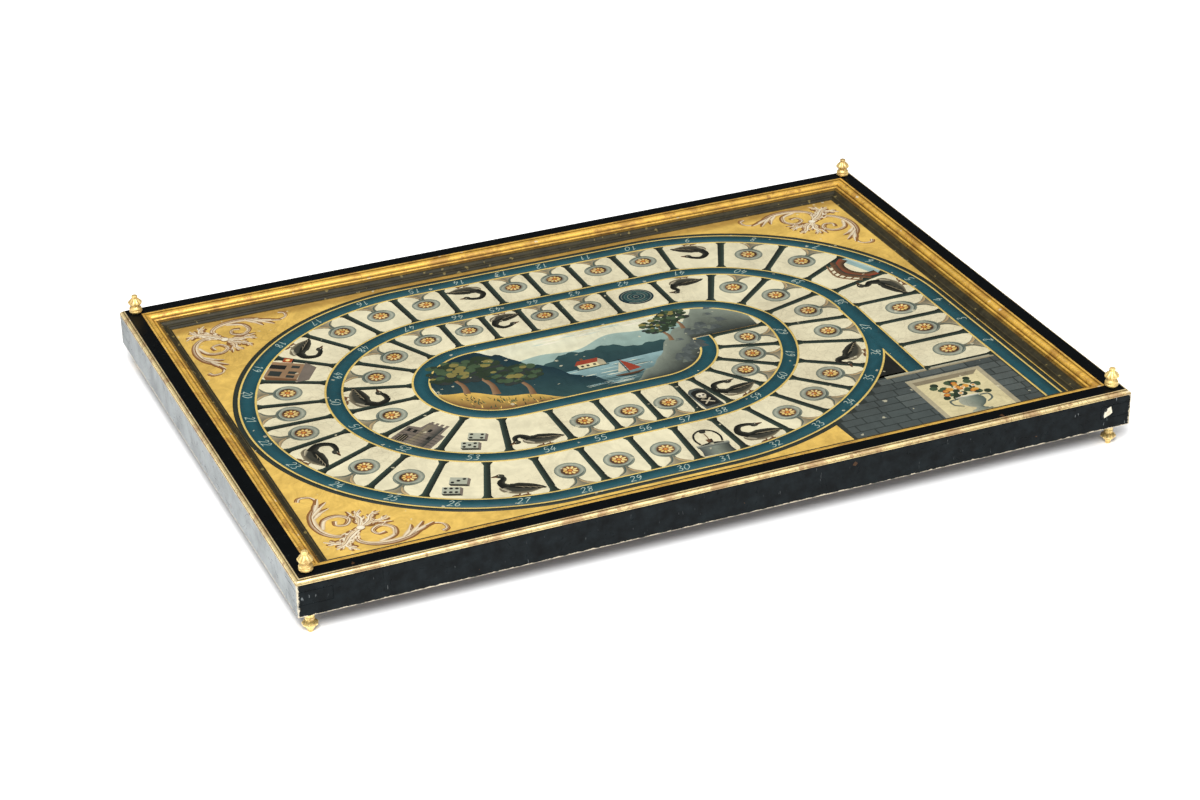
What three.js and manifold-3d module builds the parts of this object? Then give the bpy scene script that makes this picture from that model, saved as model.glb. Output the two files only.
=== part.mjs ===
// Spiral-track game board: a painted panel in a lacquered frame with gilt mouldings, finials and feet.
// Millimetres, +Z up, +X along the length, +Y to the back. The origin is on the table, under the middle.
import * as THREE from 'three';
import { mergeVertices } from 'three/addons/utils/BufferGeometryUtils.js';
import Module from 'manifold-3d';

const wasm = await Module();
wasm.setup();

// Frame
const FRAME_LENGTH = 780;
const FRAME_DEPTH = 550;
const RAIL_HEIGHT = 35;

// Rail section, counted inward from the outer face
const OUTER_MOULDING_WIDTH = 4.2;
const BAND_WIDTH = 12.8;
const INNER_MOULDING_WIDTH = 13.5;
const SIGHT_WIDTH = 9;

// Outer gilt moulding: a fillet, an ovolo and a bead that stands proud of the rail
const OUTER_SEAT_DEPTH = 5;
const OUTER_FILLET_WIDTH = 1.1;
const OUTER_FILLET_DROP = 0.6;
const OUTER_QUIRK_DEPTH = 1.4;
const OUTER_BEAD_HEIGHT = 1;
const OUTER_BEAD_PROUD = 0.3;
const OUTER_OVOLO_LIP = 0.2;

// Inner gilt moulding: a fillet, a large ovolo, a small bead and a flat foot
const INNER_SEAT_DEPTH = 7.5;
const INNER_FILLET_WIDTH = 2;
const INNER_FILLET_DROP = 0.3;
const INNER_QUIRK_DEPTH = 1.3;
const INNER_OVOLO_WIDTH = 6.2;
const INNER_OVOLO_DROP = 4.8;
const INNER_BEAD_WIDTH = 3;
const INNER_FOOT_DROP = 6.4;
const BEAD_QUIRK = 0.4;

// Sight moulding between the gilding and the panel: two coves with a ridge between them
const SIGHT_LEDGE_WIDTH = 1;
const SIGHT_RIDGE_OFFSET = 5.2;
const SIGHT_RIDGE_WIDTH = 1.2;
const SIGHT_RIDGE_DROP = 3;
const SIGHT_NOSE_WIDTH = 0.6;
const SIGHT_NOSE_HEIGHT = 0.5;

// How far each curved stretch bows out of its chord, as a share of the chord's length
const OVOLO_BOW = 0.22;
const BEAD_BOW = 0.4;
const COVE_BOW = 0.14;
const RIDGE_BOW = 0.35;
const CURVE_STEPS = 5;

// Corner joint: the short rails' tongues fill open slots in the ends of the long rails
const TONGUE_DEPTH = 11.5;
const TONGUE_THICKNESS = 12;

// Panel
const RECESS_DEPTH = 12.5;
const GROUND_THICKNESS = 0.8;
const BOARD_THICKNESS = 9;
const BOARD_NAMES = ['front_board', 'middle_board', 'back_board'];
const PANEL_GAP = 0.5;

// Strips under the panel
const FILLET_WIDTH = 8;
const FILLET_HEIGHT = 10;
const BATTEN_WIDTH = 30;
const BATTEN_THICKNESS = 9;
const BATTEN_END_DISTANCE = 170;

// Nails
const NAIL_DIAMETER = 2.4;
const NAIL_HEAD_DIAMETER = 5;
const NAIL_HEAD_THICKNESS = 1.2;
const NAIL_POINT_LENGTH = 3;
const FILLET_NAIL_REACH = 12;
const FILLET_NAIL_END_MARGIN = 70;
const LONG_NAIL_COUNT = 3;
const SHORT_NAIL_COUNT = 2;
const BATTEN_NAIL_REACH = 6;
const NAIL_SIDES = 12;

// How far in from both outer faces the turnings stand
const TURNING_INSET = 13;

// Finials: a bead, a neck, a swelling bud and a button
const FINIAL_BEAD_DIAMETER = 12.4;
const FINIAL_BEAD_HEIGHT = 7;
const FINIAL_NECK_DIAMETER = 8.6;
const FINIAL_BUD_DIAMETER = 14;
const FINIAL_BRIM_HEIGHT = 4;
const FINIAL_CROWN_HEIGHT = 6;
const FINIAL_TIP_DIAMETER = 5;
const FINIAL_BUTTON_HEIGHT = 1.6;
const FINIAL_SEAT_DIAMETER = 8;

// Feet: the same turning upside down, on a slimmer collar
const FOOT_COLLAR_DIAMETER = 9;
const FOOT_COLLAR_HEIGHT = 8.5;
const FOOT_NECK_DIAMETER = 7;
const FOOT_BUD_DIAMETER = 14.6;
const FOOT_BRIM_HEIGHT = 4.2;
const FOOT_CROWN_HEIGHT = 7.8;
const FOOT_TIP_DIAMETER = 5;
const FOOT_BUTTON_HEIGHT = 2;

// Turned spigots that lock the corner joints
const SPIGOT_DIAMETER = 6;
const SPIGOT_REACH = 3;
const TURNED_SIDES = 20;
const CROWN_BOW = 0.16;
const BRIM_BOW = 0.25;

// Clearances
const GLUE_LINE = 0.1;
const MITRE_GAP = 0.15;
const TURNED_CLEARANCE = 0.3;
const CUT_MARGIN = 2;

// Derived plan sizes
const BAND_INNER = OUTER_MOULDING_WIDTH + BAND_WIDTH;
const RAIL_WIDTH = BAND_INNER + INNER_MOULDING_WIDTH;
const SIGHT_INNER = RAIL_WIDTH + SIGHT_WIDTH;
const INNER_LENGTH = FRAME_LENGTH - 2 * RAIL_WIDTH;
const INNER_DEPTH = FRAME_DEPTH - 2 * RAIL_WIDTH;

// Derived heights
const RAIL_BOTTOM = FOOT_COLLAR_HEIGHT + FOOT_BRIM_HEIGHT + FOOT_CROWN_HEIGHT + FOOT_BUTTON_HEIGHT;
const RAIL_TOP = RAIL_BOTTOM + RAIL_HEIGHT;
const TONGUE_TOP = RAIL_TOP - TONGUE_DEPTH;
const TONGUE_BOTTOM = TONGUE_TOP - TONGUE_THICKNESS;
const GROUND_TOP = RAIL_TOP - RECESS_DEPTH;
const GROUND_BOTTOM = GROUND_TOP - GROUND_THICKNESS;
const BOARD_TOP = GROUND_BOTTOM - GLUE_LINE;
const BOARD_BOTTOM = BOARD_TOP - BOARD_THICKNESS;
const STRIP_TOP = BOARD_BOTTOM - GLUE_LINE;
const FILLET_NAIL_LEVEL = STRIP_TOP - FILLET_HEIGHT / 2;

const finishes = {
  lacquer: new THREE.MeshStandardMaterial({ color: 0x15191b, roughness: 0.35, metalness: 0 }),
  gilding: new THREE.MeshStandardMaterial({ color: 0xd3a23f, roughness: 0.4, metalness: 0.6 }),
  paleGilding: new THREE.MeshStandardMaterial({ color: 0xe8c983, roughness: 0.45, metalness: 0.4 }),
  sightGreen: new THREE.MeshStandardMaterial({ color: 0x343a22, roughness: 0.6, metalness: 0 }),
  ochre: new THREE.MeshStandardMaterial({ color: 0xe0b85c, roughness: 0.5, metalness: 0 }),
  pine: new THREE.MeshStandardMaterial({ color: 0x9a7446, roughness: 0.8, metalness: 0 }),
  iron: new THREE.MeshStandardMaterial({ color: 0x3b3735, roughness: 0.7, metalness: 0.8 }),
};

// Solids

// A closed solid from a geometry: shared corners are merged and triangles of no area are dropped.
function solid(geometry) {
  geometry.deleteAttribute('normal');
  geometry.deleteAttribute('uv');
  const merged = mergeVertices(geometry);
  const corners = merged.index.array;
  const triangles = [];
  for (let i = 0; i < corners.length; i += 3) {
    const [a, b, c] = corners.slice(i, i + 3);
    if (a !== b && b !== c && c !== a) triangles.push(a, b, c);
  }
  const vertProperties = Float32Array.from(merged.attributes.position.array);
  const triVerts = Uint32Array.from(triangles);
  return new wasm.Manifold(new wasm.Mesh({ numProp: 3, vertProperties, triVerts }));
}

function mesh(name, body, finish) {
  const { vertProperties, triVerts } = body.getMesh();
  const geometry = new THREE.BufferGeometry();
  geometry.setAttribute('position', new THREE.BufferAttribute(vertProperties, 3));
  geometry.setIndex(new THREE.BufferAttribute(triVerts, 1));
  geometry.computeVertexNormals();
  const piece = new THREE.Mesh(geometry, finish);
  piece.name = name;
  return piece;
}

// A box given by its low and high corners.
function block(low, high) {
  const size = high.map((value, axis) => value - low[axis]);
  const middle = high.map((value, axis) => (value + low[axis]) / 2);
  return solid(new THREE.BoxGeometry(...size).translate(...middle));
}

function uprightHole(x, y, bottom, top) {
  const radius = SPIGOT_DIAMETER / 2 + TURNED_CLEARANCE;
  const geometry = new THREE.CylinderGeometry(radius, radius, top - bottom, TURNED_SIDES);
  return solid(geometry.rotateX(Math.PI / 2).translate(x, y, (bottom + top) / 2));
}

// Points from one end of a chord to the other along an arc that bows to the right of the way it runs.
function bowed(from, to, bow) {
  const chord = [to[0] - from[0], to[1] - from[1]];
  const halfAngle = 2 * Math.atan(2 * bow);
  const points = [];
  for (let step = 0; step <= CURVE_STEPS; step += 1) {
    const angle = halfAngle * ((2 * step) / CURVE_STEPS - 1);
    const along = (Math.sin(angle) / Math.sin(halfAngle) + 1) / 2;
    const aside = (Math.cos(angle) - Math.cos(halfAngle)) / (2 * Math.sin(halfAngle));
    points.push([
      from[0] + chord[0] * along + chord[1] * aside,
      from[1] + chord[1] * along - chord[0] * aside,
    ]);
  }
  return points;
}

// A strip along one side of the frame, cut to mitres. The section holds [inset, drop] points.
function mitredStrip(section, run, reach) {
  const shape = new THREE.Shape(section.map(([inset, drop]) => new THREE.Vector2(inset, drop)));
  const geometry = new THREE.ExtrudeGeometry(shape, { depth: 1, bevelEnabled: false });
  const place = geometry.attributes.position;
  for (let i = 0; i < place.count; i += 1) {
    const inset = place.getX(i);
    const drop = place.getY(i);
    const end = 0.5 - place.getZ(i);
    const length = run - 2 * inset - 2 * MITRE_GAP;
    place.setXYZ(i, end * length, inset - reach / 2, RAIL_TOP - drop);
  }
  return solid(geometry);
}

// A piece turned about the upright through [x, y], from [radius, height] points going up.
function turned(profile, x, y, sides) {
  const points = profile.map(([radius, height]) => new THREE.Vector2(radius, height));
  const geometry = new THREE.LatheGeometry(points, sides);
  return solid(geometry.rotateX(Math.PI / 2).translate(x, y, 0));
}

// Moulding sections

function outerMouldingSection() {
  const back = OUTER_MOULDING_WIDTH - GLUE_LINE;
  const seat = OUTER_SEAT_DEPTH - GLUE_LINE;
  const fillet = OUTER_MOULDING_WIDTH - OUTER_FILLET_WIDTH;
  const beadTop = seat - OUTER_BEAD_HEIGHT;
  return [
    [back, seat],
    [back, OUTER_FILLET_DROP],
    [fillet, OUTER_FILLET_DROP],
    ...bowed([fillet, OUTER_QUIRK_DEPTH], [OUTER_OVOLO_LIP, beadTop], -OVOLO_BOW),
    ...bowed([0, beadTop], [0, seat], -OUTER_BEAD_PROUD / OUTER_BEAD_HEIGHT),
  ];
}

function innerMouldingSection() {
  const seat = INNER_SEAT_DEPTH - GLUE_LINE;
  const back = BAND_INNER + GLUE_LINE;
  const fillet = BAND_INNER + INNER_FILLET_WIDTH;
  const ovolo = fillet + INNER_OVOLO_WIDTH;
  const bead = ovolo + INNER_BEAD_WIDTH;
  return [
    [back, seat],
    [back, INNER_FILLET_DROP],
    [fillet, INNER_FILLET_DROP],
    ...bowed([fillet, INNER_QUIRK_DEPTH], [ovolo, INNER_OVOLO_DROP], OVOLO_BOW),
    ...bowed([ovolo, INNER_OVOLO_DROP + BEAD_QUIRK], [bead, INNER_FOOT_DROP - BEAD_QUIRK], BEAD_BOW),
    [bead, INNER_FOOT_DROP],
    [RAIL_WIDTH, INNER_FOOT_DROP],
    [RAIL_WIDTH, seat],
  ];
}

function sightSection() {
  const back = RAIL_WIDTH + GLUE_LINE;
  const seat = RECESS_DEPTH - GLUE_LINE;
  const ledge = RAIL_WIDTH + SIGHT_LEDGE_WIDTH;
  const ridge = RAIL_WIDTH + SIGHT_RIDGE_OFFSET;
  const ridgeDrop = INNER_FOOT_DROP + SIGHT_RIDGE_DROP;
  const ridgeEnd = ridge + SIGHT_RIDGE_WIDTH;
  const nose = SIGHT_INNER - SIGHT_NOSE_WIDTH;
  const noseDrop = seat - SIGHT_NOSE_HEIGHT;
  return [
    [back, seat],
    [back, INNER_FOOT_DROP],
    ...bowed([ledge, INNER_FOOT_DROP], [ridge, ridgeDrop], -COVE_BOW),
    ...bowed([ridge, ridgeDrop], [ridgeEnd, ridgeDrop], RIDGE_BOW).slice(1),
    ...bowed([ridgeEnd, ridgeDrop], [nose, noseDrop], -COVE_BOW).slice(1),
    [SIGHT_INNER, noseDrop],
    [SIGHT_INNER, seat],
  ];
}

// Rails, in the place of the front side: X along the run, the outer face at -reach / 2

function rebates(run, reach) {
  const end = run / 2 + CUT_MARGIN;
  const outer = -reach / 2 - CUT_MARGIN;
  const inner = -reach / 2 + RAIL_WIDTH + CUT_MARGIN;
  const top = RAIL_TOP + CUT_MARGIN;
  const outerCut = block(
    [-end, outer, RAIL_TOP - OUTER_SEAT_DEPTH],
    [end, -reach / 2 + OUTER_MOULDING_WIDTH, top],
  );
  const innerCut = block(
    [-end, -reach / 2 + BAND_INNER, RAIL_TOP - INNER_SEAT_DEPTH],
    [end, inner, top],
  );
  return outerCut.add(innerCut);
}

// The front or back rail runs the full length, with open slots and end rebates.
function longRail() {
  const end = FRAME_LENGTH / 2;
  const outer = -FRAME_DEPTH / 2;
  let body = block([-end, outer, RAIL_BOTTOM], [end, outer + RAIL_WIDTH, RAIL_TOP]);
  body = body.subtract(rebates(FRAME_LENGTH, FRAME_DEPTH));
  for (const hand of [-1, 1]) {
    const past = hand * (end + CUT_MARGIN);
    const shoulder = hand * (end - RAIL_WIDTH - GLUE_LINE);
    const moulding = hand * (end - OUTER_MOULDING_WIDTH);
    const front = outer - CUT_MARGIN;
    const rear = outer + RAIL_WIDTH + CUT_MARGIN;
    const slot = block(
      [Math.min(past, shoulder), front, TONGUE_BOTTOM - GLUE_LINE],
      [Math.max(past, shoulder), rear, TONGUE_TOP + GLUE_LINE],
    );
    const endRebate = block(
      [Math.min(past, moulding), front, RAIL_TOP - OUTER_SEAT_DEPTH],
      [Math.max(past, moulding), rear, RAIL_TOP + CUT_MARGIN],
    );
    const x = hand * (end - TURNING_INSET);
    const y = outer + TURNING_INSET;
    const finialHole = uprightHole(x, y, TONGUE_TOP, RAIL_TOP + CUT_MARGIN);
    const footHole = uprightHole(x, y, RAIL_BOTTOM - CUT_MARGIN, TONGUE_BOTTOM);
    body = body.subtract(slot).subtract(endRebate).subtract(finialHole).subtract(footHole);
  }
  return body;
}

// The left or right rail butts between the long ones.
// Its band laps over their inner rebate, and its tongues fill their slots.
function shortRail() {
  const outer = -FRAME_LENGTH / 2;
  const inner = outer + RAIL_WIDTH;
  const shoulder = FRAME_DEPTH / 2 - RAIL_WIDTH - GLUE_LINE;
  const lap = FRAME_DEPTH / 2 - BAND_INNER - GLUE_LINE;
  const tip = FRAME_DEPTH / 2;
  const bandLap = block(
    [-lap, outer, RAIL_TOP - INNER_SEAT_DEPTH + GLUE_LINE],
    [lap, outer + BAND_INNER, RAIL_TOP],
  );
  const tongues = block([-tip, outer, TONGUE_BOTTOM], [tip, inner, TONGUE_TOP]);
  let body = block([-shoulder, outer, RAIL_BOTTOM], [shoulder, inner, RAIL_TOP]).add(bandLap).add(tongues);
  body = body.subtract(rebates(FRAME_DEPTH, FRAME_LENGTH));
  for (const hand of [-1, 1]) {
    const x = hand * (tip - TURNING_INSET);
    const y = outer + TURNING_INSET;
    const finialBottom = TONGUE_TOP - SPIGOT_REACH - TURNED_CLEARANCE;
    const footTop = TONGUE_BOTTOM + SPIGOT_REACH + TURNED_CLEARANCE;
    const finialHole = uprightHole(x, y, finialBottom, TONGUE_TOP + CUT_MARGIN);
    const footHole = uprightHole(x, y, TONGUE_BOTTOM - CUT_MARGIN, footTop);
    body = body.subtract(finialHole).subtract(footHole);
  }
  return body;
}

// Nails

// A point and shank along -Y, up to the origin, with the rest of the profile given.
function nailBody(length, radius, rest) {
  const shank = [[0, -length], [radius, NAIL_POINT_LENGTH - length], [radius, 0]];
  const profile = [...shank, ...rest].map(([across, along]) => new THREE.Vector2(across, along));
  return solid(new THREE.LatheGeometry(profile, NAIL_SIDES));
}

function nailSolid(length) {
  const headRadius = NAIL_HEAD_DIAMETER / 2;
  const head = [[headRadius, 0], [headRadius, NAIL_HEAD_THICKNESS], [0, NAIL_HEAD_THICKNESS]];
  return nailBody(length, NAIL_DIAMETER / 2, head);
}

function nailHole(length) {
  const radius = NAIL_DIAMETER / 2 + TURNED_CLEARANCE;
  return nailBody(length + TURNED_CLEARANCE, radius, [[radius, CUT_MARGIN], [0, CUT_MARGIN]]);
}

// Where the nails of one fillet are along the run.
function filletNailPlaces(innerRun, count) {
  const reach = innerRun / 2 - FILLET_NAIL_END_MARGIN;
  return Array.from({ length: count }, (_, i) => reach * ((2 * i) / (count - 1) - 1));
}

// Assemblies

// One side of the frame with its mouldings, fillet and nails, turned to its place.
function frameSide(name, turn, run, reach, rail, nailCount, filletInset) {
  const side = new THREE.Group();
  side.rotation.z = turn;
  const innerRun = run - 2 * RAIL_WIDTH;
  const railFace = -reach / 2 + RAIL_WIDTH;
  const filletFace = railFace + GLUE_LINE + FILLET_WIDTH;
  const filletHalf = innerRun / 2 - filletInset - GLUE_LINE;
  const nailSeat = filletFace + GLUE_LINE;
  const nailLength = GLUE_LINE + FILLET_WIDTH + GLUE_LINE + FILLET_NAIL_REACH;
  let railBody = rail;
  let filletBody = block(
    [-filletHalf, railFace + GLUE_LINE, STRIP_TOP - FILLET_HEIGHT],
    [filletHalf, filletFace, STRIP_TOP],
  );
  filletNailPlaces(innerRun, nailCount).forEach((x, i) => {
    const place = [x, nailSeat, FILLET_NAIL_LEVEL];
    const hole = nailHole(nailLength).translate(place);
    railBody = railBody.subtract(hole);
    filletBody = filletBody.subtract(hole);
    side.add(mesh(`${name}_fillet_nail_${i + 1}`, nailSolid(nailLength).translate(place), finishes.iron));
  });
  side.add(mesh(`${name}_rail`, railBody, finishes.lacquer));
  side.add(mesh(`${name}_fillet`, filletBody, finishes.pine));
  side.add(mesh(`${name}_outer_moulding`, mitredStrip(outerMouldingSection(), run, reach), finishes.gilding));
  side.add(mesh(`${name}_inner_moulding`, mitredStrip(innerMouldingSection(), run, reach), finishes.gilding));
  side.add(mesh(`${name}_sight_cove`, mitredStrip(sightSection(), run, reach), finishes.sightGreen));
  return side;
}

// The painted ground on three edge-glued boards, with two cross battens nailed under them.
function panel() {
  const panelGroup = new THREE.Group();
  const halfLength = INNER_LENGTH / 2 - PANEL_GAP;
  const halfDepth = INNER_DEPTH / 2 - PANEL_GAP;
  const ground = block([-halfLength, -halfDepth, GROUND_BOTTOM], [halfLength, halfDepth, GROUND_TOP]);
  panelGroup.add(mesh('painted_ground', ground, finishes.ochre));
  const boardPitch = (2 * halfDepth) / BOARD_NAMES.length;
  const battenX = INNER_LENGTH / 2 - BATTEN_END_DISTANCE;
  const battenHalf = INNER_DEPTH / 2 - FILLET_WIDTH - 2 * GLUE_LINE;
  const battenBottom = STRIP_TOP - BATTEN_THICKNESS;
  const nailLength = 2 * GLUE_LINE + BATTEN_THICKNESS + BATTEN_NAIL_REACH;
  const boardMiddle = (row) => (row + 0.5) * boardPitch - halfDepth;
  const upFromBatten = (nail, x, row) => nail
    .rotate([-90, 0, 0])
    .translate([x, boardMiddle(row), battenBottom - GLUE_LINE]);
  BOARD_NAMES.forEach((name, row) => {
    const front = boardMiddle(row) - boardPitch / 2 + GLUE_LINE / 2;
    const rear = boardMiddle(row) + boardPitch / 2 - GLUE_LINE / 2;
    let board = block([-halfLength, front, BOARD_BOTTOM], [halfLength, rear, BOARD_TOP]);
    for (const hand of [-1, 1]) {
      board = board.subtract(upFromBatten(nailHole(nailLength), hand * battenX, row));
    }
    panelGroup.add(mesh(name, board, finishes.pine));
  });
  for (const [name, hand] of [['left', -1], ['right', 1]]) {
    const x = hand * battenX;
    let batten = block(
      [x - BATTEN_WIDTH / 2, -battenHalf, battenBottom],
      [x + BATTEN_WIDTH / 2, battenHalf, STRIP_TOP],
    );
    BOARD_NAMES.forEach((_, row) => {
      batten = batten.subtract(upFromBatten(nailHole(nailLength), x, row));
      const nail = upFromBatten(nailSolid(nailLength), x, row);
      panelGroup.add(mesh(`${name}_batten_nail_${row + 1}`, nail, finishes.iron));
    });
    panelGroup.add(mesh(`${name}_batten`, batten, finishes.pine));
  }
  return panelGroup;
}

function finialProfile() {
  const seat = RAIL_TOP + GLUE_LINE;
  const neck = RAIL_TOP + FINIAL_BEAD_HEIGHT;
  const brim = neck + FINIAL_BRIM_HEIGHT;
  const crown = brim + FINIAL_CROWN_HEIGHT;
  const top = crown + FINIAL_BUTTON_HEIGHT;
  const spigot = SPIGOT_DIAMETER / 2;
  const beadMiddle = (seat + neck) / 2;
  return [
    [0, TONGUE_TOP - SPIGOT_REACH],
    [spigot, TONGUE_TOP - SPIGOT_REACH],
    [spigot, seat],
    ...bowed([FINIAL_SEAT_DIAMETER / 2, seat], [FINIAL_BEAD_DIAMETER / 2, beadMiddle], BRIM_BOW),
    ...bowed([FINIAL_BEAD_DIAMETER / 2, beadMiddle], [FINIAL_NECK_DIAMETER / 2, neck], BRIM_BOW).slice(1),
    ...bowed([FINIAL_NECK_DIAMETER / 2, neck], [FINIAL_BUD_DIAMETER / 2, brim], BRIM_BOW).slice(1),
    ...bowed([FINIAL_BUD_DIAMETER / 2, brim], [FINIAL_TIP_DIAMETER / 2, crown], CROWN_BOW).slice(1),
    [FINIAL_TIP_DIAMETER / 2, top],
    [0, top],
  ];
}

function footProfile() {
  const seat = RAIL_BOTTOM - GLUE_LINE;
  const crown = FOOT_BUTTON_HEIGHT;
  const brim = crown + FOOT_CROWN_HEIGHT;
  const neck = brim + FOOT_BRIM_HEIGHT;
  const spigot = SPIGOT_DIAMETER / 2;
  const collar = FOOT_COLLAR_DIAMETER / 2;
  return [
    [0, 0],
    [FOOT_TIP_DIAMETER / 2, 0],
    ...bowed([FOOT_TIP_DIAMETER / 2, crown], [FOOT_BUD_DIAMETER / 2, brim], CROWN_BOW),
    ...bowed([FOOT_BUD_DIAMETER / 2, brim], [FOOT_NECK_DIAMETER / 2, neck], BRIM_BOW).slice(1),
    ...bowed([FOOT_NECK_DIAMETER / 2, neck], [collar, seat], BRIM_BOW).slice(1),
    [spigot, seat],
    [spigot, TONGUE_BOTTOM + SPIGOT_REACH],
    [0, TONGUE_BOTTOM + SPIGOT_REACH],
  ];
}

// The finial on top of each corner and the foot under it.
function cornerTurnings() {
  const corners = new THREE.Group();
  for (const [depthName, front] of [['front', -1], ['back', 1]]) {
    for (const [lengthName, hand] of [['left', -1], ['right', 1]]) {
      const name = `${depthName}_${lengthName}`;
      const x = hand * (FRAME_LENGTH / 2 - TURNING_INSET);
      const y = front * (FRAME_DEPTH / 2 - TURNING_INSET);
      const finial = turned(finialProfile(), x, y, TURNED_SIDES);
      const foot = turned(footProfile(), x, y, TURNED_SIDES);
      corners.add(mesh(`${name}_finial`, finial, finishes.paleGilding));
      corners.add(mesh(`${name}_foot`, foot, finishes.paleGilding));
    }
  }
  return corners;
}

const QUARTER_TURN = Math.PI / 2;
const SHORT_FILLET_INSET = FILLET_WIDTH + GLUE_LINE;
const longSide = (name, turn) => frameSide(
  name, turn, FRAME_LENGTH, FRAME_DEPTH, longRail(), LONG_NAIL_COUNT, 0,
);
const shortSide = (name, turn) => frameSide(
  name, turn, FRAME_DEPTH, FRAME_LENGTH, shortRail(), SHORT_NAIL_COUNT, SHORT_FILLET_INSET,
);
const board = new THREE.Group();
board.add(longSide('front', 0));
board.add(shortSide('right', QUARTER_TURN));
board.add(longSide('back', 2 * QUARTER_TURN));
board.add(shortSide('left', -QUARTER_TURN));
board.add(panel());
board.add(cornerTurnings());

export default board;
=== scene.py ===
"""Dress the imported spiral-track game board: frame finishes, turned gilding and the painted panel."""

import logging
import math
import random
from dataclasses import dataclass, field, replace
from enum import Enum
from typing import Any, Callable, Optional, Sequence

import bmesh
import bpy
from mathutils import Matrix, Vector, noise


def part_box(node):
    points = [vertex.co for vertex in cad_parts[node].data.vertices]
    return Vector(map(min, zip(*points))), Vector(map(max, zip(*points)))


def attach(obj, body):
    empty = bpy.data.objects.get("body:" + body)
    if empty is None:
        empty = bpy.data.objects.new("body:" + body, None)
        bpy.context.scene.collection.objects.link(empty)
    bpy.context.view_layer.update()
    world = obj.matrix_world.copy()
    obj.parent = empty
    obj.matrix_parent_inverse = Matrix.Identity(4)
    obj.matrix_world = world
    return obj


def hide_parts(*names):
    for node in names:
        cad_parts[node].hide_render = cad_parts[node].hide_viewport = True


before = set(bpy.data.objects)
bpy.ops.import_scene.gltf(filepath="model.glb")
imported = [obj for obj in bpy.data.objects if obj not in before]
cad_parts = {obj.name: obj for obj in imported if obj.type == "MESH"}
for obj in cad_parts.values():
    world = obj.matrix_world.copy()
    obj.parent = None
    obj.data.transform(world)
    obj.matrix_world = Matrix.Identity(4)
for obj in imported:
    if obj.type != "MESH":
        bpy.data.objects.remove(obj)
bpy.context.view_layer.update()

log = logging.getLogger("game_board")

Point = tuple[float, float]
Spot = tuple[float, float, float]
Colour = tuple[float, float, float, float]
Tree = bpy.types.NodeTree
Node = bpy.types.Node
Socket = bpy.types.NodeSocket
Piece = bpy.types.Object

MM = 0.001
HALF_LENGTH = 390.0
HALF_DEPTH = 275.0
RAIL_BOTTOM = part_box("front_rail")[0].z / MM
RAIL_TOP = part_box("front_rail")[1].z / MM
GROUND_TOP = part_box("painted_ground")[1].z / MM
SIDES = ("front", "right", "back", "left")
CORNERS = ("front_left", "front_right", "back_left", "back_right")
NEARLY_NOTHING = 1e-9


class Pigment(Enum):
    """The colours of the board, as sRGB codes."""

    OCHRE = "dcb75e"
    OCHRE_WORN = "ceaa55"
    CREAM = "d9d1b0"
    CREAM_WARM = "d0c498"
    TEAL = "1e4b53"
    YELLOW = "d9bd6a"
    PALE_YELLOW = "e6d391"
    DARK_GREEN = "29302a"
    COLUMN = "222d26"
    COLUMN_LIGHT = "34433a"
    COLUMN_DARK = "141c17"
    DISC_RIM = "636a5f"
    DISC = "7d8577"
    DISC_LIGHT = "a3a592"
    DISC_SHADE = "48564f"
    FOOT = "a59c80"
    FOOT_DARK = "827860"
    GOLD = "cb923e"
    RED = "9a4526"
    SLATE = "13150f"
    SLATE_LIGHT = "38382f"
    FEATHER = "bdb397"
    WHITE = "e3dcc6"
    BILL = "63462f"
    BROWN = "6a4a30"
    BROWN_LIGHT = "8b6f52"
    BROWN_GREY = "6f655a"
    SCROLL = "e2d5b8"
    SCROLL_MID = "c4a676"
    SCROLL_SHADE = "83592f"
    STONE = "454c4a"
    STONE_LIGHT = "525956"
    STONE_DARK = "2c322f"
    SKY = "d6d5bb"
    HILL = "93a99f"
    DEEP = "142c34"
    DUSK = "2b4646"
    DUSK_LIGHT = "57756c"
    ROOF = "8e3a26"
    HILL_FAR = "b9c4b4"
    WATER = "86a3a3"
    LEAF = "3f5138"
    LEAF_DARK = "283525"
    LEAF_LIT = "7d7440"
    BLACK = "1b1c19"
    GILT = "fbc654"
    GILT_PALE = "f6d584"
    # paler leaf of the outer mouldings: partly pale worn gilding, partly a painted highlight
    GILT_EDGE = "f9dd9a"
    # pale gold painted along the crests of the gilding as a highlight
    GILT_CREST = "f6e6b8"
    BOLE = "7a3d1c"
    GILT_DIRT = "2b1a08"
    LACQUER = "07090a"
    LACQUER_BROWN = "1a1917"
    # pale grey of the scratches, and of the painted reflection on the left end face of the lacquer
    BLOOM = "93999a"
    GESSO = "d6cab0"
    # grey of the mottled film on the upright faces of the lacquer: partly a painted sheen, as the top is kept
    # nearly black
    FILM = "1d2427"
    COVE = "2e2a1b"
    # ochre of the cove's chips and ridge: partly rubbed paint, partly a painted highlight and sheen
    COVE_LIGHT = "94834f"
    WOOD = "8a6240"
    WOOD_DARK = "55381f"
    IRON = "3a342f"
    RUST = "6b3d22"
    FLOOR = "fafafa"

    @property
    def rgba(self) -> Colour:
        """The colour in linear light.

        Returns:
            Red, green, blue and alpha.
        """
        parts = [int(self.value[place:place + 2], 16) / 255 for place in (0, 2, 4)]
        light = [part / 12.92 if part <= 0.04045 else ((part + 0.055) / 1.055) ** 2.4 for part in parts]
        return light[0], light[1], light[2], 1.0


def mixed(first: Colour, second: Colour, share: float) -> Colour:
    """Mix two colours by a share of the second."""
    return tuple(a + (b - a) * share for a, b in zip(first, second))


def ramp(stops: Sequence[float], share: float) -> float:
    """Read evenly spaced values at a share of their run, 0 to 1.

    Args:
        stops: the values.
        share: the place.

    Returns:
        The value there.
    """
    place = min(max(share, 0.0), 1.0) * (len(stops) - 1)
    before = min(int(place), len(stops) - 2) if len(stops) > 1 else 0
    after = min(before + 1, len(stops) - 1)
    return stops[before] + (stops[after] - stops[before]) * (place - before)


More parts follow.
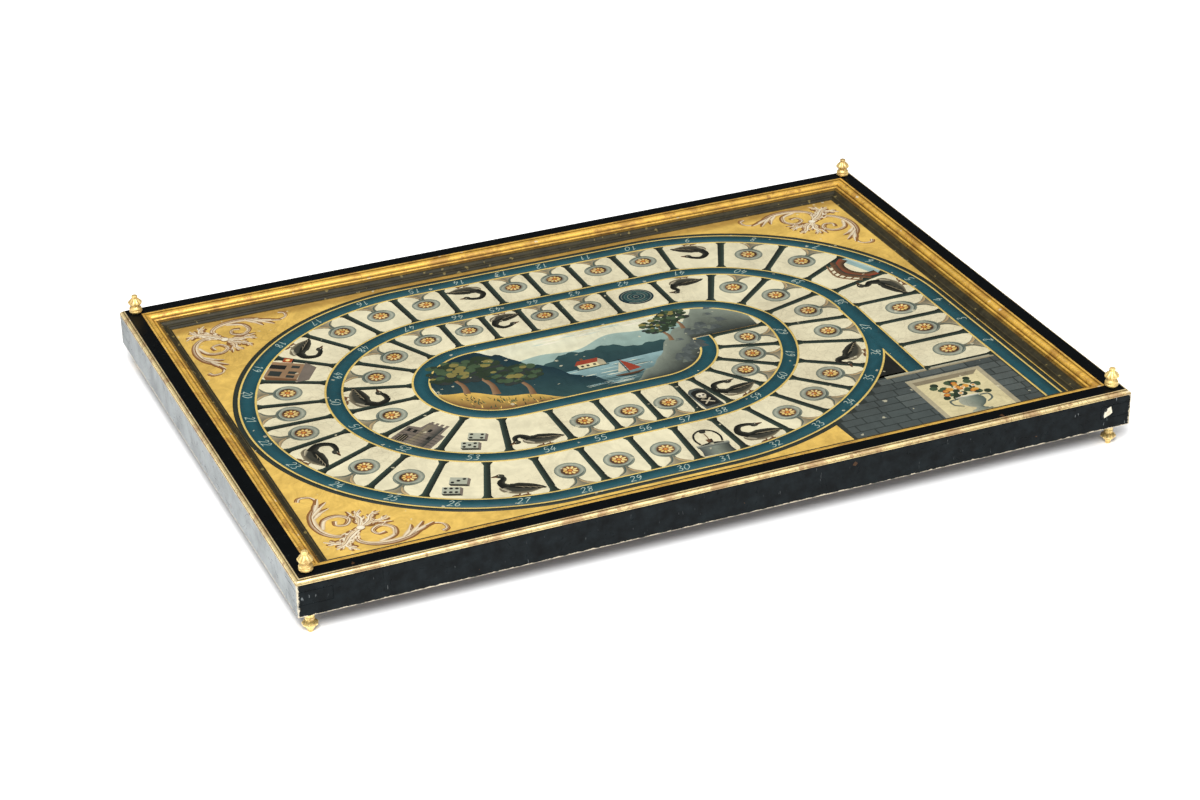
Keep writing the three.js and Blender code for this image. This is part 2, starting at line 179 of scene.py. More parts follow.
def flowing(points: Sequence[Point], steps: int = 5) -> list[Point]:
    """Draw a smooth line through points.

    Args:
        points: the points that the line passes.
        steps: the pieces between two points.

    Returns:
        The points of the smooth line.
    """
    ends = [points[0], *points, points[-1]]
    line: list[Point] = []
    for place in range(1, len(ends) - 2):
        a, b, c, d = ends[place - 1:place + 3]
        for step in range(steps):
            t = step / steps
            line.append(tuple(
                0.5 * (2 * b[k] + (c[k] - a[k]) * t + (2 * a[k] - 5 * b[k] + 4 * c[k] - d[k]) * t * t
                       + (3 * b[k] - a[k] - 3 * c[k] + d[k]) * t ** 3)
                for k in (0, 1)))
    line.append(tuple(points[-1]))
    return line


def arc(wide: float, high: float, rise: float, turns: Sequence[float]) -> list[Point]:
    """The points of a round line, at some turns about a middle that stands at a rise."""
    return [(wide * math.cos(turn), rise + high * math.sin(turn)) for turn in turns]


def round_height(radius: float, away: float) -> float:
    """The height of a circle over its middle line, at a distance from its middle."""
    return math.sqrt(max(radius ** 2 - away ** 2, 0.0))


class PathPiece:
    """A piece of a flat path, in millimetres and degrees."""

    @property
    def length(self) -> float:
        """Its length."""
        raise NotImplementedError

    def at(self, share: float) -> tuple[Point, float]:
        """Find a place on it.

        Args:
            share: the place, 0 to 1.

        Returns:
            The point, and the direction of travel as an angle.
        """
        raise NotImplementedError


@dataclass(frozen=True)
class Straight(PathPiece):
    """A straight piece of a path."""

    start: Point
    end: Point

    @property
    def length(self) -> float:
        """Its length."""
        return math.dist(self.start, self.end)

    def at(self, share: float) -> tuple[Point, float]:
        """Find a place on the straight.

        Args:
            share: the place, 0 to 1.

        Returns:
            The point, and the direction of travel as an angle.
        """
        along = (self.end[0] - self.start[0], self.end[1] - self.start[1])
        point = (self.start[0] + along[0] * share, self.start[1] + along[1] * share)
        return point, math.atan2(along[1], along[0])


@dataclass(frozen=True)
class Sweep(PathPiece):
    """A round piece of a path, anticlockwise."""

    centre: Point
    radius: float
    first: float
    last: float

    @property
    def length(self) -> float:
        """Its length."""
        return math.radians(self.last - self.first) * self.radius

    def at(self, share: float) -> tuple[Point, float]:
        """Find a place on the round.

        Args:
            share: the place, 0 to 1.

        Returns:
            The point, and the direction of travel as an angle.
        """
        turn = math.radians(self.first + (self.last - self.first) * share)
        point = (self.centre[0] + self.radius * math.cos(turn), self.centre[1] + self.radius * math.sin(turn))
        return point, turn + math.pi / 2


@dataclass(frozen=True)
class Bend(PathPiece):
    """An easing piece of a path between two directions."""

    start: Point
    leaving: float
    end: Point
    arriving: float
    pull: float

    @property
    def length(self) -> float:
        """Its length, near enough."""
        return math.dist(self.start, self.end)

    def at(self, share: float) -> tuple[Point, float]:
        """Find a place on the bend.

        Args:
            share: the place, 0 to 1.

        Returns:
            The point, and the direction of travel as an angle.
        """
        out, into = math.radians(self.leaving), math.radians(self.arriving)
        a, d = Vector(self.start), Vector(self.end)
        b = a + self.pull * Vector((math.cos(out), math.sin(out)))
        c = d - self.pull * Vector((math.cos(into), math.sin(into)))
        rest = 1 - share
        point = a * rest ** 3 + b * 3 * rest ** 2 * share + c * 3 * rest * share ** 2 + d * share ** 3
        along = (b - a) * rest ** 2 + (c - b) * 2 * rest * share + (d - c) * share ** 2
        return (point.x, point.y), math.atan2(along.y, along.x)


@dataclass(frozen=True)
class Track(PathPiece):
    """A path of several pieces, end to end."""

    pieces: tuple[PathPiece, ...]

    @property
    def length(self) -> float:
        """Its whole length."""
        return sum(piece.length for piece in self.pieces)

    def at(self, share: float) -> tuple[Point, float]:
        """Find a place on the whole path.

        Args:
            share: the place, 0 to 1.

        Returns:
            The point, and the direction of travel as an angle.
        """
        left = min(max(share, 0.0), 1.0) * self.length
        for piece in self.pieces[:-1]:
            if left <= piece.length:
                return piece.at(left / piece.length)
            left -= piece.length
        return self.pieces[-1].at(min(left / self.pieces[-1].length, 1.0))

    def sampled(self, step: float) -> list[Point]:
        """List its points, about a step apart, with each piece's ends among them.

        Args:
            step: the distance between two points.

        Returns:
            The points.
        """
        points: list[Point] = []
        for piece in self.pieces:
            count = max(2, round(piece.length / step))
            points.extend(piece.at(place / count)[0] for place in range(count))
        points.append(self.pieces[-1].at(1.0)[0])
        return points


@dataclass(frozen=True)
class Place:
    """Where a motif stands: its foot, its turn, its scale, and whether it is mirrored."""

    x: float = 0.0
    y: float = 0.0
    turn: float = 0.0
    scale: float = 1.0
    mirror: bool = False

    def __call__(self, point: Point) -> Point:
        """Carry a motif's point to the panel.

        Args:
            point: the point in the motif.

        Returns:
            The point on the panel.
        """
        across = -point[0] if self.mirror else point[0]
        cos, sin = math.cos(self.turn), math.sin(self.turn)
        return (self.x + self.scale * (across * cos - point[1] * sin),
                self.y + self.scale * (across * sin + point[1] * cos))

    def shifted(self, across: float, up: float, turn: float = 0.0, scale: float = 1.0) -> "Place":
        """Give a place that is moved, turned and scaled from this one.

        Args:
            across: the move to the right.
            up: the move upwards.
            turn: the turn, as an angle.
            scale: the scale.

        Returns:
            The new place.
        """
        x, y = self((across, up))
        own = -turn if self.mirror else turn
        return Place(x, y, self.turn + own, self.scale * scale, self.mirror)


class PaintLayer:
    """One coat of paint: thin closed shapes, each with its colours in the attribute "paint"."""

    def __init__(self, name: str, ground: float = GROUND_TOP,
                 lift: Optional[Callable[[Vector], Vector]] = None) -> None:
        """Start an empty coat.

        Args:
            name: the name of the piece that it becomes.
            ground: the height of the surface that it lies on, in millimetres.
            lift: where the coat lies on another plane, the function that carries a point there.
        """
        self.name = name
        self.ground = ground
        self.lift = lift
        self.mesh = bmesh.new()
        self.tints = self.mesh.verts.layers.float_color.new("paint")

    def vertex(self, point: Point, level: float, tint: Colour) -> bmesh.types.BMVert:
        """Add a point of paint at a level above the ground.

        Args:
            point: the point on the panel.
            level: its height above the ground.
            tint: its colour.

        Returns:
            The point of the mesh.
        """
        corner = Vector((point[0], point[1], self.ground + level))
        vert = self.mesh.verts.new(MM * (self.lift(corner) if self.lift else corner))
        vert[self.tints] = tint
        return vert

    def sheet(self, rows: Sequence[Sequence[Point]], tints: Sequence[Sequence[Colour]], level: float,
              crown: float = 0.0) -> None:
        """Lay a grid of paint.

        Args:
            rows: the points, row by row, the same number in each.
            tints: the colour of each point.
            level: the height of its top.
            crown: how much its middle stands over its sides.
        """
        last = len(rows[0]) - 1
        tops = []
        feet = []
        for points, colours in zip(rows, tints):
            tops.append([
                self.vertex(point, level + crown * (1 - (2 * place / last - 1) ** 2), colour)
                for place, (point, colour) in enumerate(zip(points, colours))])
            feet.append([self.vertex(points[0], 0.0, colours[0]), self.vertex(points[-1], 0.0, colours[-1])])
        for row in range(len(rows) - 1):
            above, below = tops[row], feet[row]
            next_above, next_below = tops[row + 1], feet[row + 1]
            for place in range(last):
                after = place + 1
                self.mesh.faces.new((above[place], above[after], next_above[after], next_above[place]))
            self.mesh.faces.new((below[0], below[1], next_below[1], next_below[0]))
            self.mesh.faces.new((above[0], below[0], next_below[0], next_above[0]))
            self.mesh.faces.new((above[last], below[1], next_below[1], next_above[last]))
        for row in (0, -1):
            self.mesh.faces.new((*tops[row], feet[row][1], feet[row][0]))

    def finished(self, finish: "Finish") -> Piece:
        """Turn the coat into an object with a finish.

        Args:
            finish: the finish.

        Returns:
            The object.
        """
        bmesh.ops.recalc_face_normals(self.mesh, faces=self.mesh.faces)
        piece = object_from(self.name, self.mesh, finish)
        for polygon in piece.data.polygons:
            polygon.use_smooth = False
        return piece


@dataclass(frozen=True)
class Brush:
    """A brush in one coat of paint, which draws at a place."""

    coat: PaintLayer
    place: Place = Place()

    CROWN = 0.05
    THINNEST = 0.12

    def moved(self, across: float, up: float, turn: float = 0.0, scale: float = 1.0) -> "Brush":
        """Give a like brush at a place that is moved, turned and scaled from this one."""
        return replace(self, place=self.place.shifted(across, up, turn, scale))

    def patch(self, outline: Sequence[Point], pigment: Pigment, level: float) -> None:
        """Fill an outline with one colour.

        Args:
            outline: its corners.
            pigment: its colour.
            level: the height of its top.
        """
        points = [self.place(point) for point in outline]
        tops = [self.coat.vertex(point, level, pigment.rgba) for point in points]
        feet = [self.coat.vertex(point, 0.0, pigment.rgba) for point in points]
        self.coat.mesh.faces.new(tops)
        self.coat.mesh.faces.new(feet)
        for here in range(len(points)):
            after = (here + 1) % len(points)
            self.coat.mesh.faces.new((tops[here], tops[after], feet[after], feet[here]))

    def block(self, low: Point, high: Point, pigment: Pigment, level: float) -> None:
        """Fill an upright oblong, from its lower left corner to its upper right one."""
        self.patch((low, (high[0], low[1]), high, (low[0], high[1])), pigment, level)

    def stroke(self, spine: Sequence[Point], widths: Sequence[float], pigments: Sequence[Pigment],
               level: float, steps: int = 4) -> None:
        """Lay one brush stroke.

        Args:
            spine: the points that its middle passes.
            widths: its widths along the way.
            pigments: its colours from left to right of the way.
            level: the height of its sides.
            steps: the pieces between two points of the spine.
        """
        line = flowing(spine, steps)
        columns = max(3, 2 * len(pigments) - 1)
        shades = [pigment.rgba for pigment in pigments]
        across = [tuple(ramp([shade[k] for shade in shades], c / (columns - 1)) for k in range(4))
                  for c in range(columns)]
        rows = []
        for here, point in enumerate(line):
            before, after = line[max(here - 1, 0)], line[min(here + 1, len(line) - 1)]
            along = Vector((after[0] - before[0], after[1] - before[1]))
            along = along.normalized() if along.length > NEARLY_NOTHING else Vector((1, 0))
            half = max(ramp(widths, here / (len(line) - 1)), self.THINNEST) / 2
            sides = [half * (1 - 2 * c / (columns - 1)) for c in range(columns)]
            edge = [(point[0] - along.y * side, point[1] + along.x * side) for side in sides]
            rows.append([self.place(spot) for spot in edge])
        self.coat.sheet(rows, [across] * len(rows), level, self.CROWN)

    def disc(self, centre: Point, rings: Sequence[tuple[float, Pigment]], level: float,
             squash: float = 1.0, sides: int = 20) -> None:
        """Lay a round dab of rings.

        Args:
            centre: its middle.
            rings: the radius and colour of each ring, from the outside in.
            level: the height of its rim.
            squash: its height over its width.
            sides: the points of its outline.
        """
        def circle(radius: float, height: float, pigment: Pigment) -> list[bmesh.types.BMVert]:
            """Add the points of one ring.

            Args:
                radius: its radius.
                height: its height.
                pigment: its colour.

            Returns:
                The points, in order.
            """
            turns = [2 * math.pi * side / sides for side in range(sides)]
            spots = [(centre[0] + x, y) for x, y in arc(radius, squash * radius, centre[1], turns)]
            return [self.coat.vertex(self.place(spot), height, pigment.rgba) for spot in spots]

        widest, rim = rings[0]
        circles = [circle(radius, level + self.CROWN * (1 - radius / widest), tone) for radius, tone in rings]
        middle = self.coat.vertex(self.place(centre), level + self.CROWN, rings[-1][1].rgba)
        feet = circle(widest, 0.0, rim)
        for side in range(sides):
            after = (side + 1) % sides
            for outer, inner in zip(circles, circles[1:]):
                self.coat.mesh.faces.new((outer[side], outer[after], inner[after], inner[side]))
            self.coat.mesh.faces.new((circles[-1][side], circles[-1][after], middle))
            self.coat.mesh.faces.new((feet[side], feet[after], circles[0][after], circles[0][side]))
        self.coat.mesh.faces.new(feet)


def linked(name: str, data: bpy.types.ID) -> Piece:
    """Make an object of its data and link it to the scene.

    Args:
        name: the object's name.
        data: its mesh, lamp or camera.

    Returns:
        The object.
    """
    piece = bpy.data.objects.new(name, data)
    bpy.context.scene.collection.objects.link(piece)
    return piece


def object_from(name: str, mesh: bmesh.types.BMesh, finish: Optional["Finish"] = None) -> Piece:
    """Make an object of a mesh under construction.

    Args:
        name: the object's name.
        mesh: the mesh, which is freed.
        finish: its finish.

    Returns:
        The object, linked to the scene.
    """
    data = bpy.data.meshes.new(name)
    mesh.to_mesh(data)
    mesh.free()
    if finish:
        data.materials.append(finish.material())
    return linked(name, data)


def plain_copy(source: Piece, name: str) -> Piece:
    """Turn an object with a live tree into a plain mesh, and remove the source.

    Args:
        source: the object with the modifier.
        name: the name of the plain piece.

    Returns:
        The plain piece.
    """
    graph = bpy.context.evaluated_depsgraph_get()
    grown = source.evaluated_get(graph)
    data = bpy.data.meshes.new_from_object(grown, preserve_all_data_layers=True, depsgraph=graph)
    source.modifiers.clear()
    bpy.data.objects.remove(source)
    data.name = name
    return linked(name, data)


def record_piece(piece: Piece, slot: str, *nodes: str) -> None:
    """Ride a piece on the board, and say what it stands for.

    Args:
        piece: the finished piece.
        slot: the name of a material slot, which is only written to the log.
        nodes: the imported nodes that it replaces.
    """
    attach(piece, "root")
    if nodes:
        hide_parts(*nodes)
    log.info("%s: %d faces, slot %s", piece.name, len(piece.data.polygons), slot)


@dataclass(frozen=True)
class Wiring:
    """A node tree, with short ways to add to it."""

    tree: Tree

    def feed(self, target: Socket, value: Any) -> None:
        """Link an output socket to an input, or set the input to a number or a pigment.

        Args:
            target: the input.
            value: the socket, number or pigment.
        """
        if isinstance(value, Socket):
            self.tree.links.new(value, target)
        else:
            target.default_value = value.rgba if isinstance(value, Pigment) else value

    def add(self, kind: str, inputs: Optional[dict[Any, Any]] = None, **settings: Any) -> Node:
        """Add a node, set it and link it.

        Args:
            kind: the node's type.
            inputs: a value or an output socket for each named or numbered input.
            settings: the node's own settings.

        Returns:
            The node.
        """
        node = self.tree.nodes.new(kind)
        for name, value in settings.items():
            setattr(node, name, value)
        for key, value in (inputs or {}).items():
            self.feed(node.inputs[key], value)
        return node

    def reckon(self, operation: str, *values: Any) -> Socket:
        """Add a sum of one kind, and give its output."""
        return self.add("ShaderNodeMath", dict(enumerate(values)), operation=operation).outputs[0]

    def times(self, first: Any, second: Any) -> Socket:
        """Multiply two values."""
        return self.reckon("MULTIPLY", first, second)

    def most(self, first: Any, second: Any) -> Socket:
        """Take the greater of two values."""
        return self.reckon("MAXIMUM", first, second)

    def less(self, first: Any, second: Any) -> Socket:
        """Take the second value from the first."""
        return self.reckon("SUBTRACT", first, second)

    def axes(self, where: Socket) -> Any:
        """Part coordinates into their three axes."""
        return self.add("ShaderNodeSeparateXYZ", {0: where}).outputs

    def attribute(self, name: str) -> Any:
        """Read an attribute of the mesh."""
        return self.add("ShaderNodeAttribute", attribute_name=name).outputs

    def cloud(self, where: Socket, scale: Any, detail: float, roughness: float = 0.5) -> Any:
        """Add a cloud of noise, and give its outputs."""
        inputs = {"Vector": where, "Scale": scale, "Detail": detail, "Roughness": roughness}
        return self.add("ShaderNodeTexNoise", inputs).outputs

    def warped(self, where: Socket, scale: float, detail: float, reach: float) -> Socket:
        """Move coordinates about by a cloud of noise.

        Args:
            where: the coordinates.
            scale: the scale of the cloud.
            detail: its detail.
            reach: how far a point moves at most.

        Returns:
            The moved coordinates.
        """
        shift = self.cloud(where, scale, detail)["Color"]
        inputs = {0: shift, 1: (reach,) * 3, 2: where}
        return self.add("ShaderNodeVectorMath", inputs, operation="MULTIPLY_ADD").outputs[0]

    def spread(self, value: Any, low: Any, high: Any, start: float = 0.0, end: float = 1.0) -> Socket:
        """Carry a value from one span to another, smoothly and within it.

        Args:
            value: the value's socket.
            low: the start of its span.
            high: the end of its span.
            start: what the start becomes.
            end: what the end becomes.

        Returns:
            The output.
        """
        inputs = {0: value, 1: low, 2: high, 3: start, 4: end}
        return self.add("ShaderNodeMapRange", inputs, interpolation_type="SMOOTHSTEP").outputs[0]

    def tinted(self, share: Any, first: Any, second: Any, blend: str = "MIX") -> Socket:
        """Mix two colours.

        Args:
            share: the share of the second.
            first: the first colour or its socket.
            second: the second colour or its socket.
            blend: how the two are mixed.

        Returns:
            The output.
        """
        inputs = {0: share, 6: first, 7: second}
        return self.add("ShaderNodeMix", inputs, data_type="RGBA", blend_type=blend).outputs[2]

    def relief(self, height: Socket, strength: float, depth: float = 0.3) -> Socket:
        """Make a relief of a height, to a depth in millimetres."""
        inputs = {"Strength": strength, "Distance": depth * MM, "Height": height}
        return self.add("ShaderNodeBump", inputs).outputs[0]

    def effect(self, shared: "Effect", where: Socket, **values: float) -> Any:
        """Place a shared effect.

        Args:
            shared: the effect.
            where: the coordinates that it reads.
            values: its own values, with spaces in the names as underscores.

        Returns:
            The effect's outputs.
        """
        inputs = {key.replace("_", " "): value for key, value in values.items()}
        return self.add("ShaderNodeGroup", {"Vector": where, **inputs}, node_tree=shared.group()).outputs


@dataclass(frozen=True)
class Effect:
    """A shared effect: a shader group that is built once, and that gives masks and values.

    Its draw function takes the group's tree and its inputs, and gives what the outputs get.
    """

    name: str
    inputs: dict[str, float]
    outputs: tuple[str, ...]
    draw: Callable[[Wiring, Any], tuple[Socket, ...]]

    def group(self) -> Tree:
        """The effect's group, built at its first use.

        Returns:
            The group.
        """
        ready = bpy.data.node_groups.get(self.name)
        if ready:
            return ready
        tree = bpy.data.node_groups.new(self.name, "ShaderNodeTree")
        tree.interface.new_socket("Vector", in_out="INPUT", socket_type="NodeSocketVector")
        for key, value in self.inputs.items():
            socket = tree.interface.new_socket(key, in_out="INPUT", socket_type="NodeSocketFloat")
            socket.default_value = value
        for key in self.outputs:
            tree.interface.new_socket(key, in_out="OUTPUT", socket_type="NodeSocketFloat")
        given = tree.nodes.new("NodeGroupInput").outputs
        out = tree.nodes.new("NodeGroupOutput")
        for key, result in zip(self.outputs, self.draw(Wiring(tree), given)):
            tree.links.new(result, out.inputs[key])
        return tree


def draw_brush_marks(wires: Wiring, given: Any) -> tuple[Socket, ...]:
    """Streaks of tone and height, as a brush leaves them.

    Args:
        wires: the group's tree.
        given: the group's inputs.

    Returns:
        The tone and the height.
    """
    where = given["Vector"]
    shift = wires.cloud(where, 14.0, 1.0)["Color"]
    moved = wires.add("ShaderNodeVectorMath", {0: where, 1: shift, 2: (0.05,) * 3}, operation="MULTIPLY_ADD")
    drawn_out = {0: moved.outputs[0], 1: (1.0, 0.35, 1.0)}
    streak = wires.add("ShaderNodeVectorMath", drawn_out, operation="MULTIPLY").outputs[0]
    fine = wires.cloud(streak, given["Scale"], 5.0, 0.62)["Fac"]
    broad = wires.cloud(where, 42.0, 6.0, 0.66)["Fac"]
    return wires.reckon("MULTIPLY_ADD", broad, 0.6, wires.times(fine, 0.4)), fine


def draw_craquelure(wires: Wiring, given: Any) -> tuple[Socket, ...]:
    """The fine net of cracks in old paint, broken up over the surface.

    Args:
        wires: the group's tree.
        given: the group's inputs.

    Returns:
        The mask of the cracks.
    """
    moved = wires.warped(given["Vector"], 60.0, 3.0, 0.012)
    cells = {"Vector": moved, "Scale": given["Scale"]}
    net = wires.add("ShaderNodeTexVoronoi", cells, feature="DISTANCE_TO_EDGE")
    line = wires.less(1.0, wires.reckon("DIVIDE", net.outputs["Distance"], given["Width"]))
    kept = wires.spread(wires.cloud(given["Vector"], 9.0, 4.0)["Fac"], 0.42, 0.62)
    return (wires.times(wires.most(line, 0.0), kept),)


def draw_grime(wires: Wiring, given: Any) -> tuple[Socket, ...]:
    """Soft patches of dirt."""
    cloud = wires.cloud(given["Vector"], given["Scale"], 7.0, 0.62)["Fac"]
    return (wires.spread(cloud, given["Low"], given["High"]),)


def draw_flecks(wires: Wiring, given: Any) -> tuple[Socket, ...]:
    """Scattered small chips of uneven size.

    Args:
        wires: the group's tree.
        given: the group's inputs.

    Returns:
        The mask of the chips.
    """
    moved = wires.warped(given["Vector"], 400.0, 2.0, 0.004)
    cells = wires.add("ShaderNodeTexVoronoi", {"Vector": moved, "Scale": given["Scale"]}).outputs
    drawn = wires.add("ShaderNodeSeparateColor", {0: cells["Color"]}).outputs
    chosen = wires.reckon("LESS_THAN", drawn[0], given["Share"])
    reach = wires.times(given["Size"], wires.reckon("ADD", drawn[1], 0.4))
    return (wires.times(chosen, wires.reckon("LESS_THAN", cells["Distance"], reach)),)


def draw_arris_wear(wires: Wiring, given: Any) -> tuple[Socket, ...]:
    """Wear along the twelve edges of a box, which is centred in plan.

    Args:
        wires: the group's tree.
        given: the group's inputs.

    Returns:
        The mask of the wear.
    """
    along, across, up = wires.axes(given["Vector"])
    side = wires.less(given["Half length"], wires.reckon("ABSOLUTE", along))
    face = wires.less(given["Half depth"], wires.reckon("ABSOLUTE", across))
    level = wires.reckon("MINIMUM", wires.less(up, given["Bottom"]), wires.less(given["Top"], up))
    lesser = wires.reckon("MINIMUM", side, face)
    second = wires.most(lesser, wires.reckon("MINIMUM", wires.most(side, face), level))
    ragged = wires.cloud(given["Vector"], given["Scale"], 8.0, 0.78)["Fac"]
    reach = wires.times(given["Width"], wires.spread(ragged, 0.36, 0.68, 0.25, 1.7))
    return (wires.reckon("LESS_THAN", second, reach),)


def draw_wood_grain(wires: Wiring, given: Any) -> tuple[Socket, ...]:
    """Fibres and growth rings that run along the longer scale.

    Args:
        wires: the group's tree.
        given: the group's inputs.

    Returns:
        The tone and the height.
    """
    where = given["Vector"]
    waves = {"Vector": where, "Scale": given["Scale"], "Distortion": 11.0, "Detail": 4.0, "Detail Scale": 1.4}
    ring = wires.add("ShaderNodeTexWave", waves, wave_type="BANDS", bands_direction="Y").outputs["Fac"]
    fibre = wires.cloud(where, 26.0, 6.0, 0.7)["Fac"]
    tone = wires.reckon("MULTIPLY_ADD", fibre, 0.75, wires.times(ring, 0.1))
    return wires.reckon("MULTIPLY_ADD", wires.cloud(where, 3.0, 3.0)["Fac"], 0.3, tone), fibre


BRUSH_MARKS = Effect("brush_marks", {"Scale": 260.0}, ("Tone", "Height"), draw_brush_marks)
CRAQUELURE = Effect("craquelure", {"Scale": 120.0, "Width": 0.05}, ("Crack",), draw_craquelure)
GRIME = Effect("grime", {"Scale": 11.0, "Low": 0.45, "High": 0.75}, ("Dirt",), draw_grime)
FLECKS = Effect("flecks", {"Scale": 150.0, "Share": 0.12, "Size": 0.3}, ("Fleck",), draw_flecks)
ARRIS_WEAR = Effect("arris_wear", {"Half length": HALF_LENGTH * MM, "Half depth": HALF_DEPTH * MM,
                                   "Bottom": RAIL_BOTTOM * MM, "Top": RAIL_TOP * MM, "Width": 0.0012,
                                   "Scale": 150.0}, ("Wear",), draw_arris_wear)
WOOD_GRAIN = Effect("wood_grain", {"Scale": 1.0}, ("Tone", "Height"), draw_wood_grain)


class Finish:
    """A finish that makes its material once."""

    name: str

    def material(self) -> bpy.types.Material:
        """The finish's material, made at its first use.

        Returns:
            The material.
        """
        ready = bpy.data.materials.get(self.name)
        if ready:
            return ready
        made = bpy.data.materials.new(self.name)
        made.use_nodes = True
        wires = Wiring(made.node_tree)
        shader = next(node for node in made.node_tree.nodes if node.type == "BSDF_PRINCIPLED")
        where = wires.add("ShaderNodeTexCoord").outputs["Object"]
        for key, value in self.wire(wires, where).items():
            wires.feed(shader.inputs[key], value)
        return made

    def wire(self, wires: Wiring, where: Socket) -> dict[str, Any]:
        """Wire the finish's nodes.

        Args:
            wires: the material's tree.
            where: the object's own coordinates.

        Returns:
            What each input of the shader gets.
        """
        raise NotImplementedError


@dataclass(frozen=True)
class OilPaint(Finish):
    """Old oil paint under thin varnish, coloured by the attribute "paint" or by two ground pigments."""

    name: str = "oil_paint"
    ground: Optional[tuple[Pigment, Pigment]] = None
    dirt: float = 0.16
    crack: float = 0.2
    # share of the pale flecks: rubbed spots and painted glints
    rubbed: float = 0.5
    dirty_edge: tuple[float, float] = (0.218, 0.23)

    def wire(self, wires: Wiring, where: Socket) -> dict[str, Any]:
        """Wire colour, brush marks, dirt, a darker back edge on the ground, pale flecks of rubbed paint and
        painted glints, and cracks.

        Args:
            wires: the material's tree.
            where: the object's own coordinates.

        Returns:
            What each input of the shader gets.
        """
        brush = wires.effect(BRUSH_MARKS, where, Scale=240.0)
        cracks = wires.effect(CRAQUELURE, where, Scale=130.0, Width=0.045)["Crack"]
        dirt = wires.effect(GRIME, where, Scale=9.0, Low=0.42, High=0.72)["Dirt"]
        spots = wires.effect(FLECKS, where, Scale=190.0, Share=0.05, Size=0.26)["Fleck"]
        if self.ground:
            colour = wires.tinted(wires.spread(brush["Tone"], 0.32, 0.66), *self.ground)
            # the ground is painted darker towards its back edge, along the back rail
            back = wires.spread(wires.axes(where)[1], *self.dirty_edge, 0.0, 0.5)
            colour = wires.tinted(back, colour, Pigment.SCROLL_SHADE, "MULTIPLY")
        else:
            colour = wires.attribute("paint")["Color"]
        colour = wires.tinted(1.0, colour, wires.spread(brush["Tone"], 0.34, 0.66, 0.86, 1.06), "MULTIPLY")
        colour = wires.tinted(wires.times(dirt, self.dirt), colour, Pigment.SCROLL_SHADE, "MULTIPLY")
        # pale flecks: partly paint rubbed through, partly painted glints on the raised paint
        colour = wires.tinted(wires.times(spots, self.rubbed), colour, Pigment.CREAM)
        colour = wires.tinted(wires.times(cracks, self.crack), colour, Pigment.GILT_DIRT)
        height = wires.less(brush["Height"], wires.times(cracks, 0.6))
        return {"Base Color": colour, "Roughness": wires.spread(brush["Height"], 0.3, 0.7, 0.42, 0.62),
                "Specular IOR Level": 0.28, "Normal": wires.relief(height, 0.35)}


@dataclass(frozen=True)
class Lacquer(Finish):
    """Black lacquer with rubbed arrises, fine scratches, a grey film with painted sheen on the uprights and a
    pale painted reflection on the left end face.
    """

    name: str = "black_lacquer_worn"
    chipped: float = 0.4
    worn: float = 0.85
    film_span: tuple[float, float] = ((RAIL_TOP - 1.0) * MM, (RAIL_TOP - 0.4) * MM)
    bloom_span: tuple[float, float] = ((HALF_LENGTH - 1.4) * MM, (HALF_LENGTH - 0.6) * MM)
    scratch_span: tuple[float, float] = (0.26, 0.38)

    def wire(self, wires: Wiring, where: Socket) -> dict[str, Any]:
        """Wire the lacquer, its film and painted sheen on the uprights, the painted reflection on the left
        end face, its scratches and its wear.

        Args:
            wires: the material's tree.
            where: the object's own coordinates.

        Returns:
            What each input of the shader gets.
        """
        slant = {"Vector": where, "Rotation": (0.0, 0.7, 0.0), "Scale": (1.0, 1.0, 0.2)}
        slanted = wires.add("ShaderNodeMapping", slant).outputs[0]
        arris = wires.effect(ARRIS_WEAR, where, Width=0.001)["Wear"]
        corner = wires.effect(ARRIS_WEAR, where, Width=0.0016, Bottom=-1.0, Top=1.0, Scale=420.0)["Wear"]
        scratches = wires.effect(FLECKS, slanted, Scale=420.0, Share=0.16, Size=0.22)["Fleck"]
        film = wires.effect(GRIME, where, Scale=80.0, Low=0.2, High=0.86)["Dirt"]
        chips = wires.effect(FLECKS, where, Scale=95.0, Share=0.02, Size=0.2)["Fleck"]
        brush = wires.effect(BRUSH_MARKS, where, Scale=180.0)
        along, _, up = wires.axes(where)
        # the upright faces get the grey film and its painted sheen, the top only a little of it
        upright = wires.spread(up, *self.film_span, 0.85, 0.1)
        # a pale painted reflection on the left end face, broken up by the brush marks
        end_face = wires.spread(wires.times(along, -1.0), *self.bloom_span)
        left_end_reflection = wires.times(end_face, wires.spread(brush["Tone"], 0.34, 0.62, 0.4, 1.0))
        far_out = wires.spread(wires.reckon("ABSOLUTE", along), *self.scratch_span, 0.35, 1.0)
        thin = wires.spread(brush["Tone"], 0.44, 0.6, 0.0, 0.8)
        worn_thin = wires.times(thin, wires.times(upright, far_out))
        wear = wires.most(arris, wires.times(corner, wires.spread(brush["Tone"], 0.45, 0.5)))
        colour = wires.tinted(wires.times(film, upright), Pigment.LACQUER, Pigment.FILM)
        for share, pigment in ((left_end_reflection, Pigment.BLOOM), (wires.times(chips, self.chipped), Pigment.BROWN),
                               (wires.times(scratches, worn_thin), Pigment.BLOOM),
                               (wires.times(wear, self.worn), Pigment.GESSO)):
            colour = wires.tinted(share, colour, pigment)
        return {"Base Color": colour, "Roughness": wires.spread(brush["Height"], 0.3, 0.7, 0.26, 0.44),
                "Specular IOR Level": 0.06, "Normal": wires.relief(wires.less(brush["Height"], wear), 0.2)}


